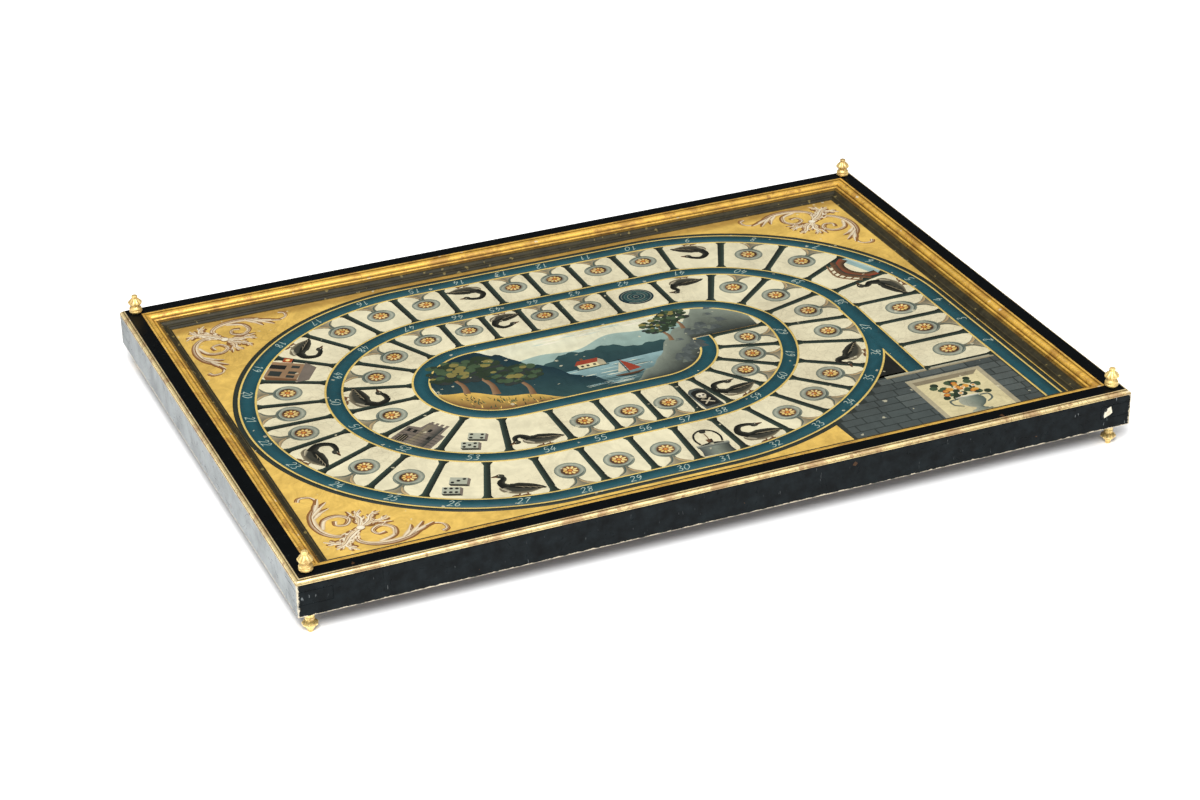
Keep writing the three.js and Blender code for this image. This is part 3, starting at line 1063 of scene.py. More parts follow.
@dataclass(frozen=True)
class Gilding(Finish):
    """Gold leaf over red bole, rubbed on the crests and dirty in the quirks, with a pale painted highlight
    along the crests.
    """

    name: str = "worn_gilding"
    leaf: Pigment = Pigment.GILT
    rubbed: float = 0.5
    dirt: float = 0.8
    metal: float = 0.32
    # how strongly the pale highlight is painted along the crests
    bright: float = 0.15

    def wire(self, wires: Wiring, where: Socket) -> dict[str, Any]:
        """Wire the leaf, its painted crest highlight, the bole that shows through, the dirt and the bare
        gesso.

        Args:
            wires: the material's tree.
            where: the object's own coordinates.

        Returns:
            What each input of the shader gets.
        """
        crest = wires.attribute("crest")["Fac"]
        patches = wires.effect(GRIME, where, Scale=48.0, Low=0.47, High=0.62)["Dirt"]
        chips = wires.effect(FLECKS, where, Scale=170.0, Share=0.14, Size=0.36)["Fleck"]
        corner = wires.effect(ARRIS_WEAR, where, Width=0.004, Bottom=-1.0, Top=1.0, Scale=300.0)["Wear"]
        spots = wires.effect(FLECKS, where, Scale=130.0, Share=0.1, Size=0.24)["Fleck"]
        brush = wires.effect(BRUSH_MARKS, where, Scale=320.0)
        bole = wires.times(wires.most(patches, chips), self.rubbed)
        quirk = wires.times(wires.spread(crest, 0.15, 0.7, 1.0, 0.0), self.dirt)
        gesso = wires.times(wires.most(corner, spots), wires.spread(crest, 0.5, 0.9, 0.0, 0.8))
        colour = wires.tinted(1.0, self.leaf, wires.spread(brush["Tone"], 0.35, 0.65, 0.74, 1.08), "MULTIPLY")
        # a pale highlight painted along the crests, then the bole, the dirt in the quirks and the bare gesso
        for share, pigment in ((wires.spread(crest, 0.7, 1.0, 0.0, self.bright), Pigment.GILT_CREST),
                               (bole, Pigment.BOLE), (quirk, Pigment.GILT_DIRT), (gesso, Pigment.GESSO)):
            colour = wires.tinted(share, colour, pigment)
        bare = wires.most(wires.most(bole, quirk), gesso)
        height = wires.less(brush["Height"], wires.times(bole, 0.5))
        return {"Base Color": colour, "Metallic": wires.spread(bare, 0.0, 1.0, self.metal, 0.05),
                "Roughness": wires.spread(brush["Height"], 0.3, 0.7, 0.22, 0.4),
                "Normal": wires.relief(height, 0.4)}


@dataclass(frozen=True)
class GreenPaint(Finish):
    """Dark green paint on the sight cove, lighter ochre on its ridge: partly rubbed paint, partly a painted
    highlight.
    """

    name: str = "dark_green_rubbed"
    chipped: float = 0.6

    def wire(self, wires: Wiring, where: Socket) -> dict[str, Any]:
        """Wire the green, its lighter ridge (rubbed, with a painted highlight) and its chips.

        Args:
            wires: the material's tree.
            where: the object's own coordinates.

        Returns:
            What each input of the shader gets.
        """
        crest = wires.attribute("crest")["Fac"]
        brush = wires.effect(BRUSH_MARKS, where, Scale=280.0)
        chips = wires.effect(FLECKS, where, Scale=210.0, Share=0.12, Size=0.34)["Fleck"]
        streaks = wires.spread(brush["Tone"], 0.36, 0.64, 0.65, 1.35)
        colour = wires.tinted(1.0, Pigment.COVE, streaks, "MULTIPLY")
        patchy = wires.spread(brush["Tone"], 0.38, 0.56, 0.35, 1.0)
        # the ridge is painted lighter: partly rubbed paint, partly a painted highlight
        ridge = wires.times(wires.spread(crest, 0.55, 0.95), patchy)
        colour = wires.tinted(wires.most(ridge, wires.times(chips, self.chipped)), colour, Pigment.COVE_LIGHT)
        return {"Base Color": colour, "Roughness": wires.spread(brush["Height"], 0.3, 0.7, 0.4, 0.62),
                "Specular IOR Level": 0.3, "Normal": wires.relief(brush["Height"], 0.3)}


@dataclass(frozen=True)
class BareWood(Finish):
    """Old unfinished softwood, with its grain along one axis."""

    name: str = "bare_wood_long"
    along_length: bool = True
    dirt: float = 0.45

    def wire(self, wires: Wiring, where: Socket) -> dict[str, Any]:
        """Wire the grain, the dirt and the relief of the fibres.

        Args:
            wires: the material's tree.
            where: the object's own coordinates.

        Returns:
            What each input of the shader gets.
        """
        turn = 0.0 if self.along_length else math.pi / 2
        along = {"Vector": where, "Rotation": (0.0, 0.0, turn), "Scale": (1.6, 46.0, 46.0)}
        grain = wires.effect(WOOD_GRAIN, wires.add("ShaderNodeMapping", along).outputs[0], Scale=0.5)
        dirt = wires.effect(GRIME, where, Scale=8.0, Low=0.45, High=0.75)["Dirt"]
        colour = wires.tinted(wires.spread(grain["Tone"], 0.32, 0.78), Pigment.WOOD, Pigment.WOOD_DARK)
        colour = wires.tinted(wires.times(dirt, self.dirt), colour, Pigment.LACQUER_BROWN)
        return {"Base Color": colour, "Roughness": wires.spread(grain["Height"], 0.3, 0.7, 0.6, 0.85),
                "Specular IOR Level": 0.25, "Normal": wires.relief(grain["Height"], 0.35, 0.4)}


@dataclass(frozen=True)
class RustyIron(Finish):
    """Hand-made nails, dark with patches of rust."""

    name: str = "rusty_iron"

    def wire(self, wires: Wiring, where: Socket) -> dict[str, Any]:
        """Wire the iron and its rust.

        Args:
            wires: the material's tree.
            where: the object's own coordinates.

        Returns:
            What each input of the shader gets.
        """
        rust = wires.effect(GRIME, where, Scale=420.0, Low=0.42, High=0.6)["Dirt"]
        return {"Base Color": wires.tinted(rust, Pigment.IRON, Pigment.RUST),
                "Metallic": wires.spread(rust, 0.0, 1.0, 0.7, 0.1),
                "Roughness": wires.spread(rust, 0.0, 1.0, 0.45, 0.85), "Normal": wires.relief(rust, 0.4)}


@dataclass(frozen=True)
class PaleFloor(Finish):
    """The plain floor of the studio."""

    name: str = "pale_floor"
    glow: float = 0.05

    def wire(self, wires: Wiring, where: Socket) -> dict[str, Any]:
        """Set the floor's plain values."""
        return {"Base Color": Pigment.FLOOR, "Roughness": 0.9, "Specular IOR Level": 0.1,
                "Emission Color": Pigment.FLOOR, "Emission Strength": self.glow}


OIL = OilPaint()
GROUND = OilPaint("ochre_ground", (Pigment.OCHRE_WORN, Pigment.OCHRE), 0.2, 0.2)
LACQUER = Lacquer()
GILT = Gilding()
PALE_GILT = Gilding("pale_gilding_worn", Pigment.GILT_PALE, 0.4, 0.55, 0.4, 0.3)
# the outer mouldings: a paler leaf and the full crest highlight, partly pale worn gilding and partly painted
# highlight
EDGE_GILT = Gilding("edge_gilding_worn", Pigment.GILT_EDGE, 0.6, 0.9, 0.5, 1.0)
GREEN = GreenPaint()
WOOD_LONG = BareWood()
WOOD_CROSS = BareWood("bare_wood_cross", False)
IRON = RustyIron()


class NodeBuild:
    """A tree of geometry nodes with named inputs, built once."""

    name = "node_build"

    def __init__(self) -> None:
        """Build the tree."""
        self.tree = bpy.data.node_groups.new(self.name, "GeometryNodeTree")
        self.wires = Wiring(self.tree)
        self.keys: dict[str, str] = {}
        self.socket("Geometry", "NodeSocketGeometry")
        self.given = self.tree.nodes.new("NodeGroupInput").outputs
        self.tree.interface.new_socket("Geometry", in_out="OUTPUT", socket_type="NodeSocketGeometry")
        self.out = self.tree.nodes.new("NodeGroupOutput")
        self.grow()

    def socket(self, name: str, kind: str) -> None:
        """Add a named input of a kind."""
        self.keys[name] = self.tree.interface.new_socket(name, in_out="INPUT", socket_type=kind).identifier

    def step(self, kind: str, inputs: Optional[dict[Any, Any]] = None, **settings: Any) -> Socket:
        """Add a node and give its first output."""
        return self.wires.add(kind, inputs, **settings).outputs[0]

    def grow(self) -> None:
        """Add the tree's own inputs and nodes."""
        raise NotImplementedError

    def close(self, geometry: Socket) -> None:
        """End the tree in real geometry with its finish.

        Args:
            geometry: what the tree has made.
        """
        real = self.step("GeometryNodeRealizeInstances", {0: geometry})
        dressed = self.step("GeometryNodeSetMaterial", {"Geometry": real, "Material": self.given["Finish"]})
        self.tree.links.new(dressed, self.out.inputs[0])

    def made(self, name: str, source: Piece, finish: Finish, **values: Any) -> Piece:
        """Run the tree on a source and keep the plain result.

        Args:
            name: the name of the piece.
            source: the object that the tree starts from, which is removed.
            finish: the finish of the result.
            values: the tree's other inputs.

        Returns:
            The piece.
        """
        live = source.modifiers.new("build", "NODES")
        live.node_group = self.tree
        live[self.keys["Finish"]] = finish.material()
        for key, value in values.items():
            live[self.keys[key]] = value
        return plain_copy(source, name)


class StampTree(NodeBuild):
    """Sets a motif on points, each with its own turn and size."""

    name = "stamp_motifs"

    def grow(self) -> None:
        """Add the nodes that set the motif."""
        self.socket("Motif", "NodeSocketObject")
        self.socket("Finish", "NodeSocketMaterial")
        motif = self.wires.add("GeometryNodeObjectInfo", {"Object": self.given["Motif"]}).outputs["Geometry"]
        turn = self.step("GeometryNodeInputNamedAttribute", {"Name": "turn"}, data_type="FLOAT")
        size = self.step("GeometryNodeInputNamedAttribute", {"Name": "size"}, data_type="FLOAT_VECTOR")
        turned = self.step("FunctionNodeEulerToRotation", {0: self.step("ShaderNodeCombineXYZ", {2: turn})})
        self.close(self.step("GeometryNodeInstanceOnPoints", {
            "Points": self.given["Geometry"], "Instance": motif, "Rotation": turned, "Scale": size}))


class RibbonTree(NodeBuild):
    """Lays a flat ribbon of one colour along a line, to one side of it."""

    name = "painted_ribbon"

    def grow(self) -> None:
        """Add the nodes that lay the ribbon."""
        for key in ("Width", "Thickness", "Sideways"):
            self.socket(key, "NodeSocketFloat")
        self.socket("Tint", "NodeSocketColor")
        self.socket("Finish", "NodeSocketMaterial")
        line = self.step("GeometryNodeMeshToCurve", {0: self.given["Geometry"]})
        upright = self.step("GeometryNodeSetCurveNormal", {0: line}, mode="Z_UP")
        side = self.step("GeometryNodeInputNormal")
        aside = {0: side, "Scale": self.given["Sideways"]}
        shift = self.step("ShaderNodeVectorMath", aside, operation="SCALE")
        moved = self.step("GeometryNodeSetPosition", {"Geometry": upright, "Offset": shift})
        shape = self.step("GeometryNodeCurvePrimitiveQuadrilateral", {
            "Width": self.given["Width"], "Height": self.given["Thickness"]})
        section = {"Curve": moved, "Profile Curve": shape, "Fill Caps": True}
        laid = self.step("GeometryNodeCurveToMesh", section)
        painted = {"Geometry": laid, "Name": "paint", "Value": self.given["Tint"]}
        kind = {"data_type": "FLOAT_COLOR", "domain": "POINT"}
        self.close(self.step("GeometryNodeStoreNamedAttribute", painted, **kind))


def line_object(points: Sequence[Point], height: float) -> Piece:
    """Make a line of edges for a tree to follow, in millimetres.

    Args:
        points: the points of the line.
        height: the height of the line.

    Returns:
        The line.
    """
    mesh = bmesh.new()
    verts = [mesh.verts.new((x * MM, y * MM, height * MM)) for x, y in points]
    for first, second in zip(verts, verts[1:]):
        mesh.edges.new((first, second))
    return object_from("guide_line", mesh)


def stamp_points(places: Sequence[tuple[Point, float, Vector]], height: float) -> Piece:
    """Make points for a tree to stamp motifs on.

    Args:
        places: each motif's point in millimetres, turn, and size.
        height: the height of the points in millimetres.

    Returns:
        The points.
    """
    data = bpy.data.meshes.new("guide_points")
    data.from_pydata([(x * MM, y * MM, height * MM) for (x, y), _, _ in places], [], [])
    turns = data.attributes.new("turn", "FLOAT", "POINT")
    sizes = data.attributes.new("size", "FLOAT_VECTOR", "POINT")
    for here, (_, turn, size) in enumerate(places):
        turns.data[here].value = turn
        sizes.data[here].vector = size
    return linked("guide_points", data)


class NeckPose(Enum):
    """How a goose holds its neck: the points that the neck passes."""

    PROUD = ((-10.0, 17.0), (-13.5, 25.0), (-10.0, 31.0), (-12.5, 36.0))
    ARCHED = ((-9.0, 17.0), (-14.0, 27.0), (-8.0, 36.0), (1.0, 35.0), (6.0, 31.0))
    LOW = ((-9.0, 17.0), (-15.0, 25.0), (-21.0, 23.0), (-22.0, 15.0))


class Stop(Enum):
    """The fields of the game that are not discs or geese, by their numbers."""

    BRIDGE = 6
    INN = 19
    SIX_AND_THREE = 26
    FIVE_AND_FOUR = 53
    WELL = 31
    MAZE = 42
    TOWER = 52
    TOMB = 58


@dataclass(frozen=True)
class Field:
    """One field of the track: its number, the middle of its outer edge, its turn, and its depth."""

    number: int
    foot: Point
    turn: float
    depth: float

    FULL_DEPTH = 62.0
    GOOSE_ROUND = 9
    GOOSE_STEPS = (0, 5)

    @property
    def place(self) -> Place:
        """Where its motif stands, with its top towards the middle of the board."""
        return Place(self.foot[0], self.foot[1], self.turn, self.depth / self.FULL_DEPTH)

    @property
    def has_goose(self) -> bool:
        """Whether a goose stands in it."""
        return self.number % self.GOOSE_ROUND in self.GOOSE_STEPS

    @property
    def is_stop(self) -> bool:
        """Whether it is one of the stops."""
        return any(self.number == kind.value for kind in Stop)


@dataclass(frozen=True)
class SpiralPlan:
    """The lines of the painted track, in millimetres from the middle of the panel."""

    band_width: float = 13.4
    line_width: float = 1.9
    stub_half: float = 8.0
    rim_width: float = 4.6
    first_number: int = 2
    low_edge: float = -140.0
    bend_middle: Point = (20, 25)
    bend_radius: float = 241

    @property
    def half_band(self) -> float:
        """Half the band with the line beside it."""
        return self.band_width / 2 + self.line_width

    def front_bend(self, first: float, last: float, outward: float = 0.0) -> Sweep:
        """The bend at the front right, between two turns."""
        return Sweep(self.bend_middle, self.bend_radius + outward, first, last)

    def outer_loop(self) -> tuple[PathPiece, ...]:
        """The band from the front edge, once round the board.

        Returns:
            Its pieces, in the order of play.
        """
        return (Straight((336, -236), (336, 0)), Sweep((120, 0), 216, 0, 90),
                Straight((120, 216), (-121.7, 216)), Sweep((-121.7, 0), 216, 90, 270),
                Straight((-121.7, -216), (20, -216)), self.front_bend(-90, -35))

    def inner_loops(self) -> tuple[PathPiece, ...]:
        """The rest of the band, to the middle.

        Returns:
            Its pieces, in the order of play.
        """
        return (Bend((217.4, -113.2), 55, (250, 10), 90, 45), Sweep((116, 10), 134, 0, 90),
                Straight((116, 144), (-118, 144)), Sweep((-118, 4), 140, 90, 270),
                Straight((-118, -136), (35, -136)), Sweep((35, 1), 137, -90, 0),
                Sweep((97, 1), 75, 0, 90), Straight((97, 76), (-109, 76)),
                Sweep((-109, 8.25), 67.75, 90, 270), Straight((-109, -59.5), (35, -59.5)),
                Sweep((35, 4), 63.5, -90, 2))

    def band(self) -> Track:
        """The whole band."""
        return Track(self.outer_loop() + self.inner_loops())

    def stub(self) -> Track:
        """The short band beside the first fields."""
        return Track((Straight((246.7, self.low_edge), (250, 4)),))

    @staticmethod
    def arcs(centre: Point, radius: float, *turns: float) -> list[Track]:
        """The middles of fields round a centre, one between each two turns."""
        return [Track((Sweep(centre, radius, first, last),)) for first, last in zip(turns, turns[1:])]

    @staticmethod
    def runs(y: float, *places: float) -> list[Track]:
        """The middles of fields along the board, one between each two places."""
        return [Track((Straight((first, y), (last, y)),)) for first, last in zip(places, places[1:])]

    def ways(self) -> list[Track]:
        """The middle of each field from its first column to its last, in the order of play.

        Returns:
            A path for each field.
        """
        right, left, low = (118, 3), (-121, 2), (27, 13)
        inner_left, inner_low = (-113, 6), (35, 2)
        first = (-139.6, -88.3, -40.3, 4.0)
        return [
            *(Track((Straight((292, start), (292, end)),)) for start, end in zip(first, first[1:])),
            *self.arcs(right, 174, 0.7, 15.6, 30.3, 47.8, 65.4, 83.2),
            Track((Sweep(right, 174, 83.2, 90), Straight((118, 177), (91.8, 178)))),
            *self.runs(178, 91.8, 42.7, -1.0, -43.5, -89.5, -135.7),
            *self.arcs(left, 176, 94.8, 110.2, 125.1, 139.6, 153.0, 167.0, 179.1, 192.0, 206.1, 220.5, 234.6,
                       249.5, 265.5),
            Track((Sweep(left, 176, 265.5, 270), Straight((-121, -174), (-90, -174)))),
            *self.runs(-174, -90.0, -43.0, -1.2),
            Track((Straight((-1.2, -174), (27, -175)), Sweep(low, 188, -90, -86))),
            *self.arcs(low, 188, -86, -72.9, -59.8, -46.7, -34.2, -20.6, -7.4),
            *self.arcs((107, 6), 105, -8, 16.6, 41.3, 64.8, 91),
            *self.runs(110.5, 104.0, 50.7, 2.0, -37.7, -75.0, -114.7),
            *self.arcs(inner_left, 104, 91, 115.4, 138.8, 161.6, 180.5, 204.3, 229, 255.6),
            Track((Sweep(inner_left, 104, 255.6, 270), Straight((-113, -98), (-88.2, -98)))),
            *self.runs(-98, -88.2, -43.0, -2.2, 34.0),
            *self.arcs(inner_low, 100, -90, -75.5, -55.4, -36.5, -17.4, 1.9),
        ]

    def reach(self, point: Point, turn: float) -> float:
        """Measure from a point to the nearest edge of a band.

        Args:
            point: the point.
            turn: the direction, as an angle.

        Returns:
            The distance to the yellow line's edge.
        """
        way = Vector((math.cos(turn), math.sin(turn)))
        found = []
        for track in (self.band(), self.stub()):
            line = track.sampled(5.0)
            for first, second in zip(line, line[1:]):
                side = Vector(second) - Vector(first)
                gap = Vector(first) - Vector(point)
                across = way.x * side.y - way.y * side.x
                if abs(across) < NEARLY_NOTHING:
                    continue
                along = (gap.x * side.y - gap.y * side.x) / across
                share = (gap.x * way.y - gap.y * way.x) / across
                if along > 0 and 0 <= share <= 1:
                    found.append(along)
        return min(found) - self.half_band

    def fields(self) -> list[Field]:
        """The fields in the order of play."""
        crossed = [self.across(*way.at(0.5)) for way in self.ways()]
        return [Field(self.first_number + place, *line) for place, line in enumerate(crossed)]

    def columns(self) -> list[tuple[Point, float, float]]:
        """The columns between the fields: the foot of each, its turn, and its length."""
        ways = self.ways()
        return [self.across(*way.at(0.0)) for way in ways] + [self.across(*ways[-1].at(1.0))]

    def across(self, point: Point, heading: float) -> tuple[Point, float, float]:
        """Draw a line across the track through a point.

        Args:
            point: the point.
            heading: the direction of play there.

        Returns:
            The line's outer end, its turn and its length.
        """
        outward = self.reach(point, heading - math.pi / 2)
        inward = self.reach(point, heading + math.pi / 2)
        foot = (point[0] + outward * math.sin(heading), point[1] - outward * math.cos(heading))
        return foot, heading, outward + inward


class Motif(Brush):
    """The painter's small motifs, each drawn standing on its foot in millimetres."""

    DIGITS = {
        "0": (((0.32, 1), (0.06, 0.6), (0.1, 0.14), (0.32, 0), (0.58, 0.4), (0.52, 0.86), (0.32, 1)),),
        "1": (((0.12, 0.76), (0.34, 1.0), (0.3, 0.5), (0.28, 0.0)),),
        "2": (((0.06, 0.76), (0.3, 1), (0.54, 0.78), (0.3, 0.34), (0.04, 0.02), (0.3, 0.08), (0.6, 0.03)),),
        "3": (((0.08, 0.9), (0.34, 1), (0.5, 0.78), (0.26, 0.54), (0.56, 0.32), (0.38, 0), (0.04, 0.08)),),
        "4": (((0.36, 1), (0.18, 0.66), (0.04, 0.34), (0.6, 0.38)), ((0.46, 0.66), (0.4, 0.3), (0.36, 0))),
        "5": (((0.56, 1), (0.2, 0.96), (0.12, 0.58), (0.46, 0.56), (0.52, 0.2), (0.26, 0), (0.03, 0.1)),),
        "6": (((0.5, 0.98), (0.2, 0.7), (0.08, 0.24), (0.28, 0), (0.52, 0.2), (0.38, 0.46), (0.12, 0.32)),),
        "7": (((0.05, 0.88), (0.3, 0.96), (0.58, 0.98), (0.36, 0.5), (0.2, 0)),),
        "8": (((0.5, 0.86), (0.26, 1), (0.12, 0.76), (0.44, 0.42), (0.4, 0.05), (0.12, 0.07), (0.16, 0.38),
               (0.48, 0.68), (0.5, 0.86)),),
        "9": (((0.5, 0.76), (0.3, 0.99), (0.08, 0.74), (0.26, 0.5), (0.5, 0.74), (0.42, 0.34), (0.18, 0)),),
    }
    DIGIT_PITCH = 0.72
    DIGIT_SLANT = 0.18
    DISC_RISE = 28
    PETALS = 9

    def number(self, value: int, height: float) -> None:
        """Write a number, centred.

        Args:
            value: the number.
            height: the height of its digits.
        """
        digits = str(value)
        for here, digit in enumerate(digits):
            left = (here - len(digits) / 2) * self.DIGIT_PITCH * height
            for line in self.DIGITS[digit]:
                spine = [(left + height * (x + self.DIGIT_SLANT * y), height * y) for x, y in line]
                self.stroke(spine, (0.4, 0.85, 0.6, 0.9, 0.4), (Pigment.HILL, Pigment.HILL_FAR), 0.5, 3)

    def column(self, length: float) -> None:
        """Draw a column.

        Args:
            length: its length.
        """
        shades = (Pigment.COLUMN_LIGHT, Pigment.COLUMN, Pigment.COLUMN_DARK)
        self.stroke(((0, 2), (0, length / 2), (0, length - 2)), (6.6, 6.2, 5.8), shades, 0.2, 2)
        for low, high, widths in ((0, 1.8, (10.2, 9.8)), (1.8, 4.2, (8.6, 7.2)),
                                  (length - 4.6, length - 2.0, (6.6, 8.2)),
                                  (length - 2.0, length, (9.4, 9.8))):
            self.stroke(((0, low), (0, high)), widths, shades, 0.26, 2)

    def rosette_stand(self) -> None:
        """Draw the ringed disc with a rosette on its flared foot."""
        rise = self.DISC_RISE
        grey = (Pigment.FOOT, Pigment.FOOT_DARK, Pigment.DISC_SHADE)
        self.stroke(((0, 0.2), (0, 3), (0, 7), (0, 11), (0, 16)), (27, 19, 10, 5.6, 4.2), grey, 0.16, 3)
        self.stroke(((1.4, 11), (3.6, 6), (7, 2.8), (12, 0.9)), (1.2, 3.6, 3.6, 1.0),
                    (Pigment.FOOT_DARK, Pigment.SCROLL_MID), 0.18, 3)
        self.stroke(((-1.2, 15), (-2.0, 10), (-4.6, 5), (-11, 1.1)), (3.2, 2.6, 1.9, 0.7),
                    (Pigment.DISC_SHADE, Pigment.DISC_SHADE, Pigment.FOOT_DARK), 0.19, 3)
        rings = ((13.9, Pigment.DISC_RIM), (12.9, Pigment.DISC), (11.0, Pigment.DISC_LIGHT),
                 (8.8, Pigment.DISC), (7.7, Pigment.BROWN))
        self.disc((0, rise), rings, 0.2, sides=28)
        self.stroke(arc(12.2, 12.2, rise, (3.7, 4.4, 5.1, 5.8)), (0.4, 2.2, 2.4, 0.4),
                    (Pigment.DISC_SHADE, Pigment.DISC_RIM), 0.28, 2)
        lit_side, dull = 0.4, 0.3
        for petal in range(self.PETALS):
            turn = 0.2 + petal * math.tau / self.PETALS
            bright = 0.5 + 0.5 * math.cos(turn - lit_side)
            tones = (Pigment.RED, Pigment.YELLOW if bright < dull else Pigment.PALE_YELLOW, Pigment.YELLOW)
            reaches = (2.0, 4.8, 6.4 + 0.8 * bright)
            line = [(reach * math.cos(turn), rise + reach * math.sin(turn)) for reach in reaches]
            self.stroke(line, (1.0, 3.1, 1.3), tones, 0.3 + 0.004 * petal, 3)
        self.stroke(arc(7.2, 7.2, rise, (2.3, 3.1, 3.9, 4.7)), (0.4, 2.4, 2.6, 0.4),
                    (Pigment.BROWN, Pigment.BLACK, Pigment.BROWN), 0.35, 3)
        self.disc((0, rise), ((2.9, Pigment.BROWN), (2.1, Pigment.RED), (0.9, Pigment.GOLD)), 0.37, sides=12)

    def goose(self, pose: NeckPose) -> None:
        """Draw a goose.

        Args:
            pose: how it holds its neck.
        """
        legs = (Pigment.BILL, Pigment.BROWN)
        for foot, hip in ((-3.0, -1.0), (5.0, 5.0)):
            self.stroke(((hip, 10), (hip + 0.6, 5), (foot + 1, 1.4)), (2.6, 1.6, 1.4), legs, 0.16, 2)
            self.stroke(((foot + 3, 1.2), (foot - 1, 1.6), (foot - 5, 0.8)), (1.0, 2.6, 0.8), legs, 0.18, 2)
        dark = (Pigment.SLATE, Pigment.SLATE, Pigment.SLATE_LIGHT)
        self.stroke(((-13, 19), (-10, 15.5), (-1, 12.5), (9, 11.5), (20, 12)), (6, 15, 17, 13, 3),
                    (*dark, Pigment.SLATE_LIGHT, Pigment.FOOT_DARK), 0.24, 4)
        self.stroke(((-14, 20), (-12.5, 14.5), (-7, 8.6)), (3, 4, 1.6),
                    (Pigment.SLATE_LIGHT, Pigment.FEATHER), 0.3, 3)
        neck = pose.value
        self.stroke(neck, (9.5, 6.4, 4.8, 4.4), dark, 0.34, 4)
        x, y = neck[-1]
        self.disc((x, y), ((3.8, Pigment.SLATE), (2.2, Pigment.SLATE_LIGHT)), 0.38, 0.82, 12)
        ahead = 1 if pose is NeckPose.ARCHED else -1
        drop = -2.4 if pose is NeckPose.LOW else -0.8
        bill = ((x + 2.4 * ahead, y), (x + 5 * ahead, y + drop / 2), (x + 7.6 * ahead, y + drop))
        self.stroke(bill, (3.2, 2.2, 0.6), (Pigment.BROWN, Pigment.SLATE), 0.4, 2)
        self.disc((x + 1.0 * ahead, y + 0.9), ((0.6, Pigment.FEATHER),), 0.46, sides=8)
        self.stroke(((-8, 18), (0, 17.6), (12, 14.5), (22, 10)), (3, 9, 7, 1.2),
                    (Pigment.SLATE_LIGHT, Pigment.SLATE, Pigment.SLATE), 0.36, 4)
        for feather in range(4):
            start = (-3 + 5.2 * feather, 16.6 - 1.3 * feather)
            end = (4.5 + 5.2 * feather, 12.6 - 1.2 * feather)
            bow = ((start[0] + end[0]) / 2 + 0.8, (start[1] + end[1]) / 2 + 0.8)
            self.stroke((start, bow, end), (0.3, 0.9, 0.3), (Pigment.FOOT_DARK,), 0.44, 2)

    def stop(self, kind: Stop) -> None:
        """Draw the motif of a stop.

        Args:
            kind: which stop.
        """
        throws = {Stop.SIX_AND_THREE: (6, 3), Stop.FIVE_AND_FOUR: (5, 4)}
        if kind in throws:
            self.dice(throws[kind])
            return
        {Stop.BRIDGE: self.bridge, Stop.INN: self.inn, Stop.WELL: self.well, Stop.MAZE: self.maze,
         Stop.TOWER: self.tower, Stop.TOMB: self.tomb}[kind]()

    def bridge(self) -> None:
        """Draw a brick bridge over water."""
        self.stroke(((-24, 5), (0, 5), (24, 5)), (10, 10, 10),
                    (Pigment.HILL, Pigment.WATER, Pigment.HILL_FAR), 0.16, 2)
        arch = arc(20, 17, 6, (3.14, 2.6, 2.1, 1.57, 1.0, 0.54, 0.0))
        self.stroke(arch, (9, 8, 8, 8, 8, 8, 9), (Pigment.ROOF, Pigment.BROWN, Pigment.SLATE), 0.26, 3)
        self.stroke(((-24, 18), (0, 30), (24, 18)), (5, 7, 5), (Pigment.BROWN, Pigment.SLATE_LIGHT), 0.3, 4)
        for post in range(7):
            across = -18 + 6 * post
            foot = 30 - 0.03 * across * across
            self.stroke(((across, foot), (across, foot + 8)), (1.6, 1.6), (Pigment.BROWN,), 0.34, 1)
        self.stroke(((-22, 28), (0, 39), (22, 28)), (1.8, 2.0, 1.8),
                    (Pigment.BROWN_LIGHT, Pigment.BROWN), 0.38, 4)

    def inn(self) -> None:
        """Draw an inn with a grey roof and a hanging sign."""
        self.block((-17, 1), (15, 34), Pigment.BROWN_LIGHT, 0.2)
        self.patch(((15, 1), (21, 5), (21, 36), (15, 34)), Pigment.BROWN, 0.2)
        self.patch(((-20, 33), (22, 35), (14, 46), (-12, 46)), Pigment.BROWN_GREY, 0.28)
        self.block((-11, 1), (-3, 17), Pigment.BLACK, 0.28)
        for across in (-12, 0, 8):
            self.block((across, 22), (across + 5, 30), Pigment.STONE_DARK, 0.28)
        self.block((2, 4), (12, 16), Pigment.STONE_DARK, 0.28)
        self.stroke(((-17, 20), (-25, 20)), (1.2, 1.2), (Pigment.BLACK,), 0.34, 1)
        self.block((-26, 10), (-18, 19), Pigment.RED, 0.36)
        self.disc((-22, 14.5), ((2.6, Pigment.GOLD), (1.2, Pigment.PALE_YELLOW)), 0.42, sides=10)

    def dice(self, throw: tuple[int, int]) -> None:
        """Draw two dice, each with a pale face and two dark sides.

        Args:
            throw: the pips of the lower die and of the upper one.
        """
        corners = ((-5.2, -2.2), (4.2, 4.0), (-5.2, 4.0), (4.2, -2.2))
        faces = {3: (*corners[:2], (-0.5, 0.9)), 4: corners, 5: (*corners, (-0.5, 0.9)),
                 6: (*corners, (-0.5, -2.2), (-0.5, 4.0))}
        for pips, across, up, turn in zip(throw, (-5, -1), (12.5, 29), (0.08, 0.02)):
            die = self.moved(across, up, turn)
            die.block((-8, -4.6), (7, 6.4), Pigment.DISC_LIGHT, 0.24)
            die.patch(((-8, -4.6), (-6.2, -7.8), (9.6, -7.8), (7, -4.6)), Pigment.SLATE_LIGHT, 0.24)
            die.patch(((7, -4.6), (9.6, -7.8), (9.6, 4.2), (7, 6.4)), Pigment.BROWN_GREY, 0.24)
            for spot in faces[pips]:
                die.disc(spot, ((1.6, Pigment.BLACK),), 0.34, sides=10)

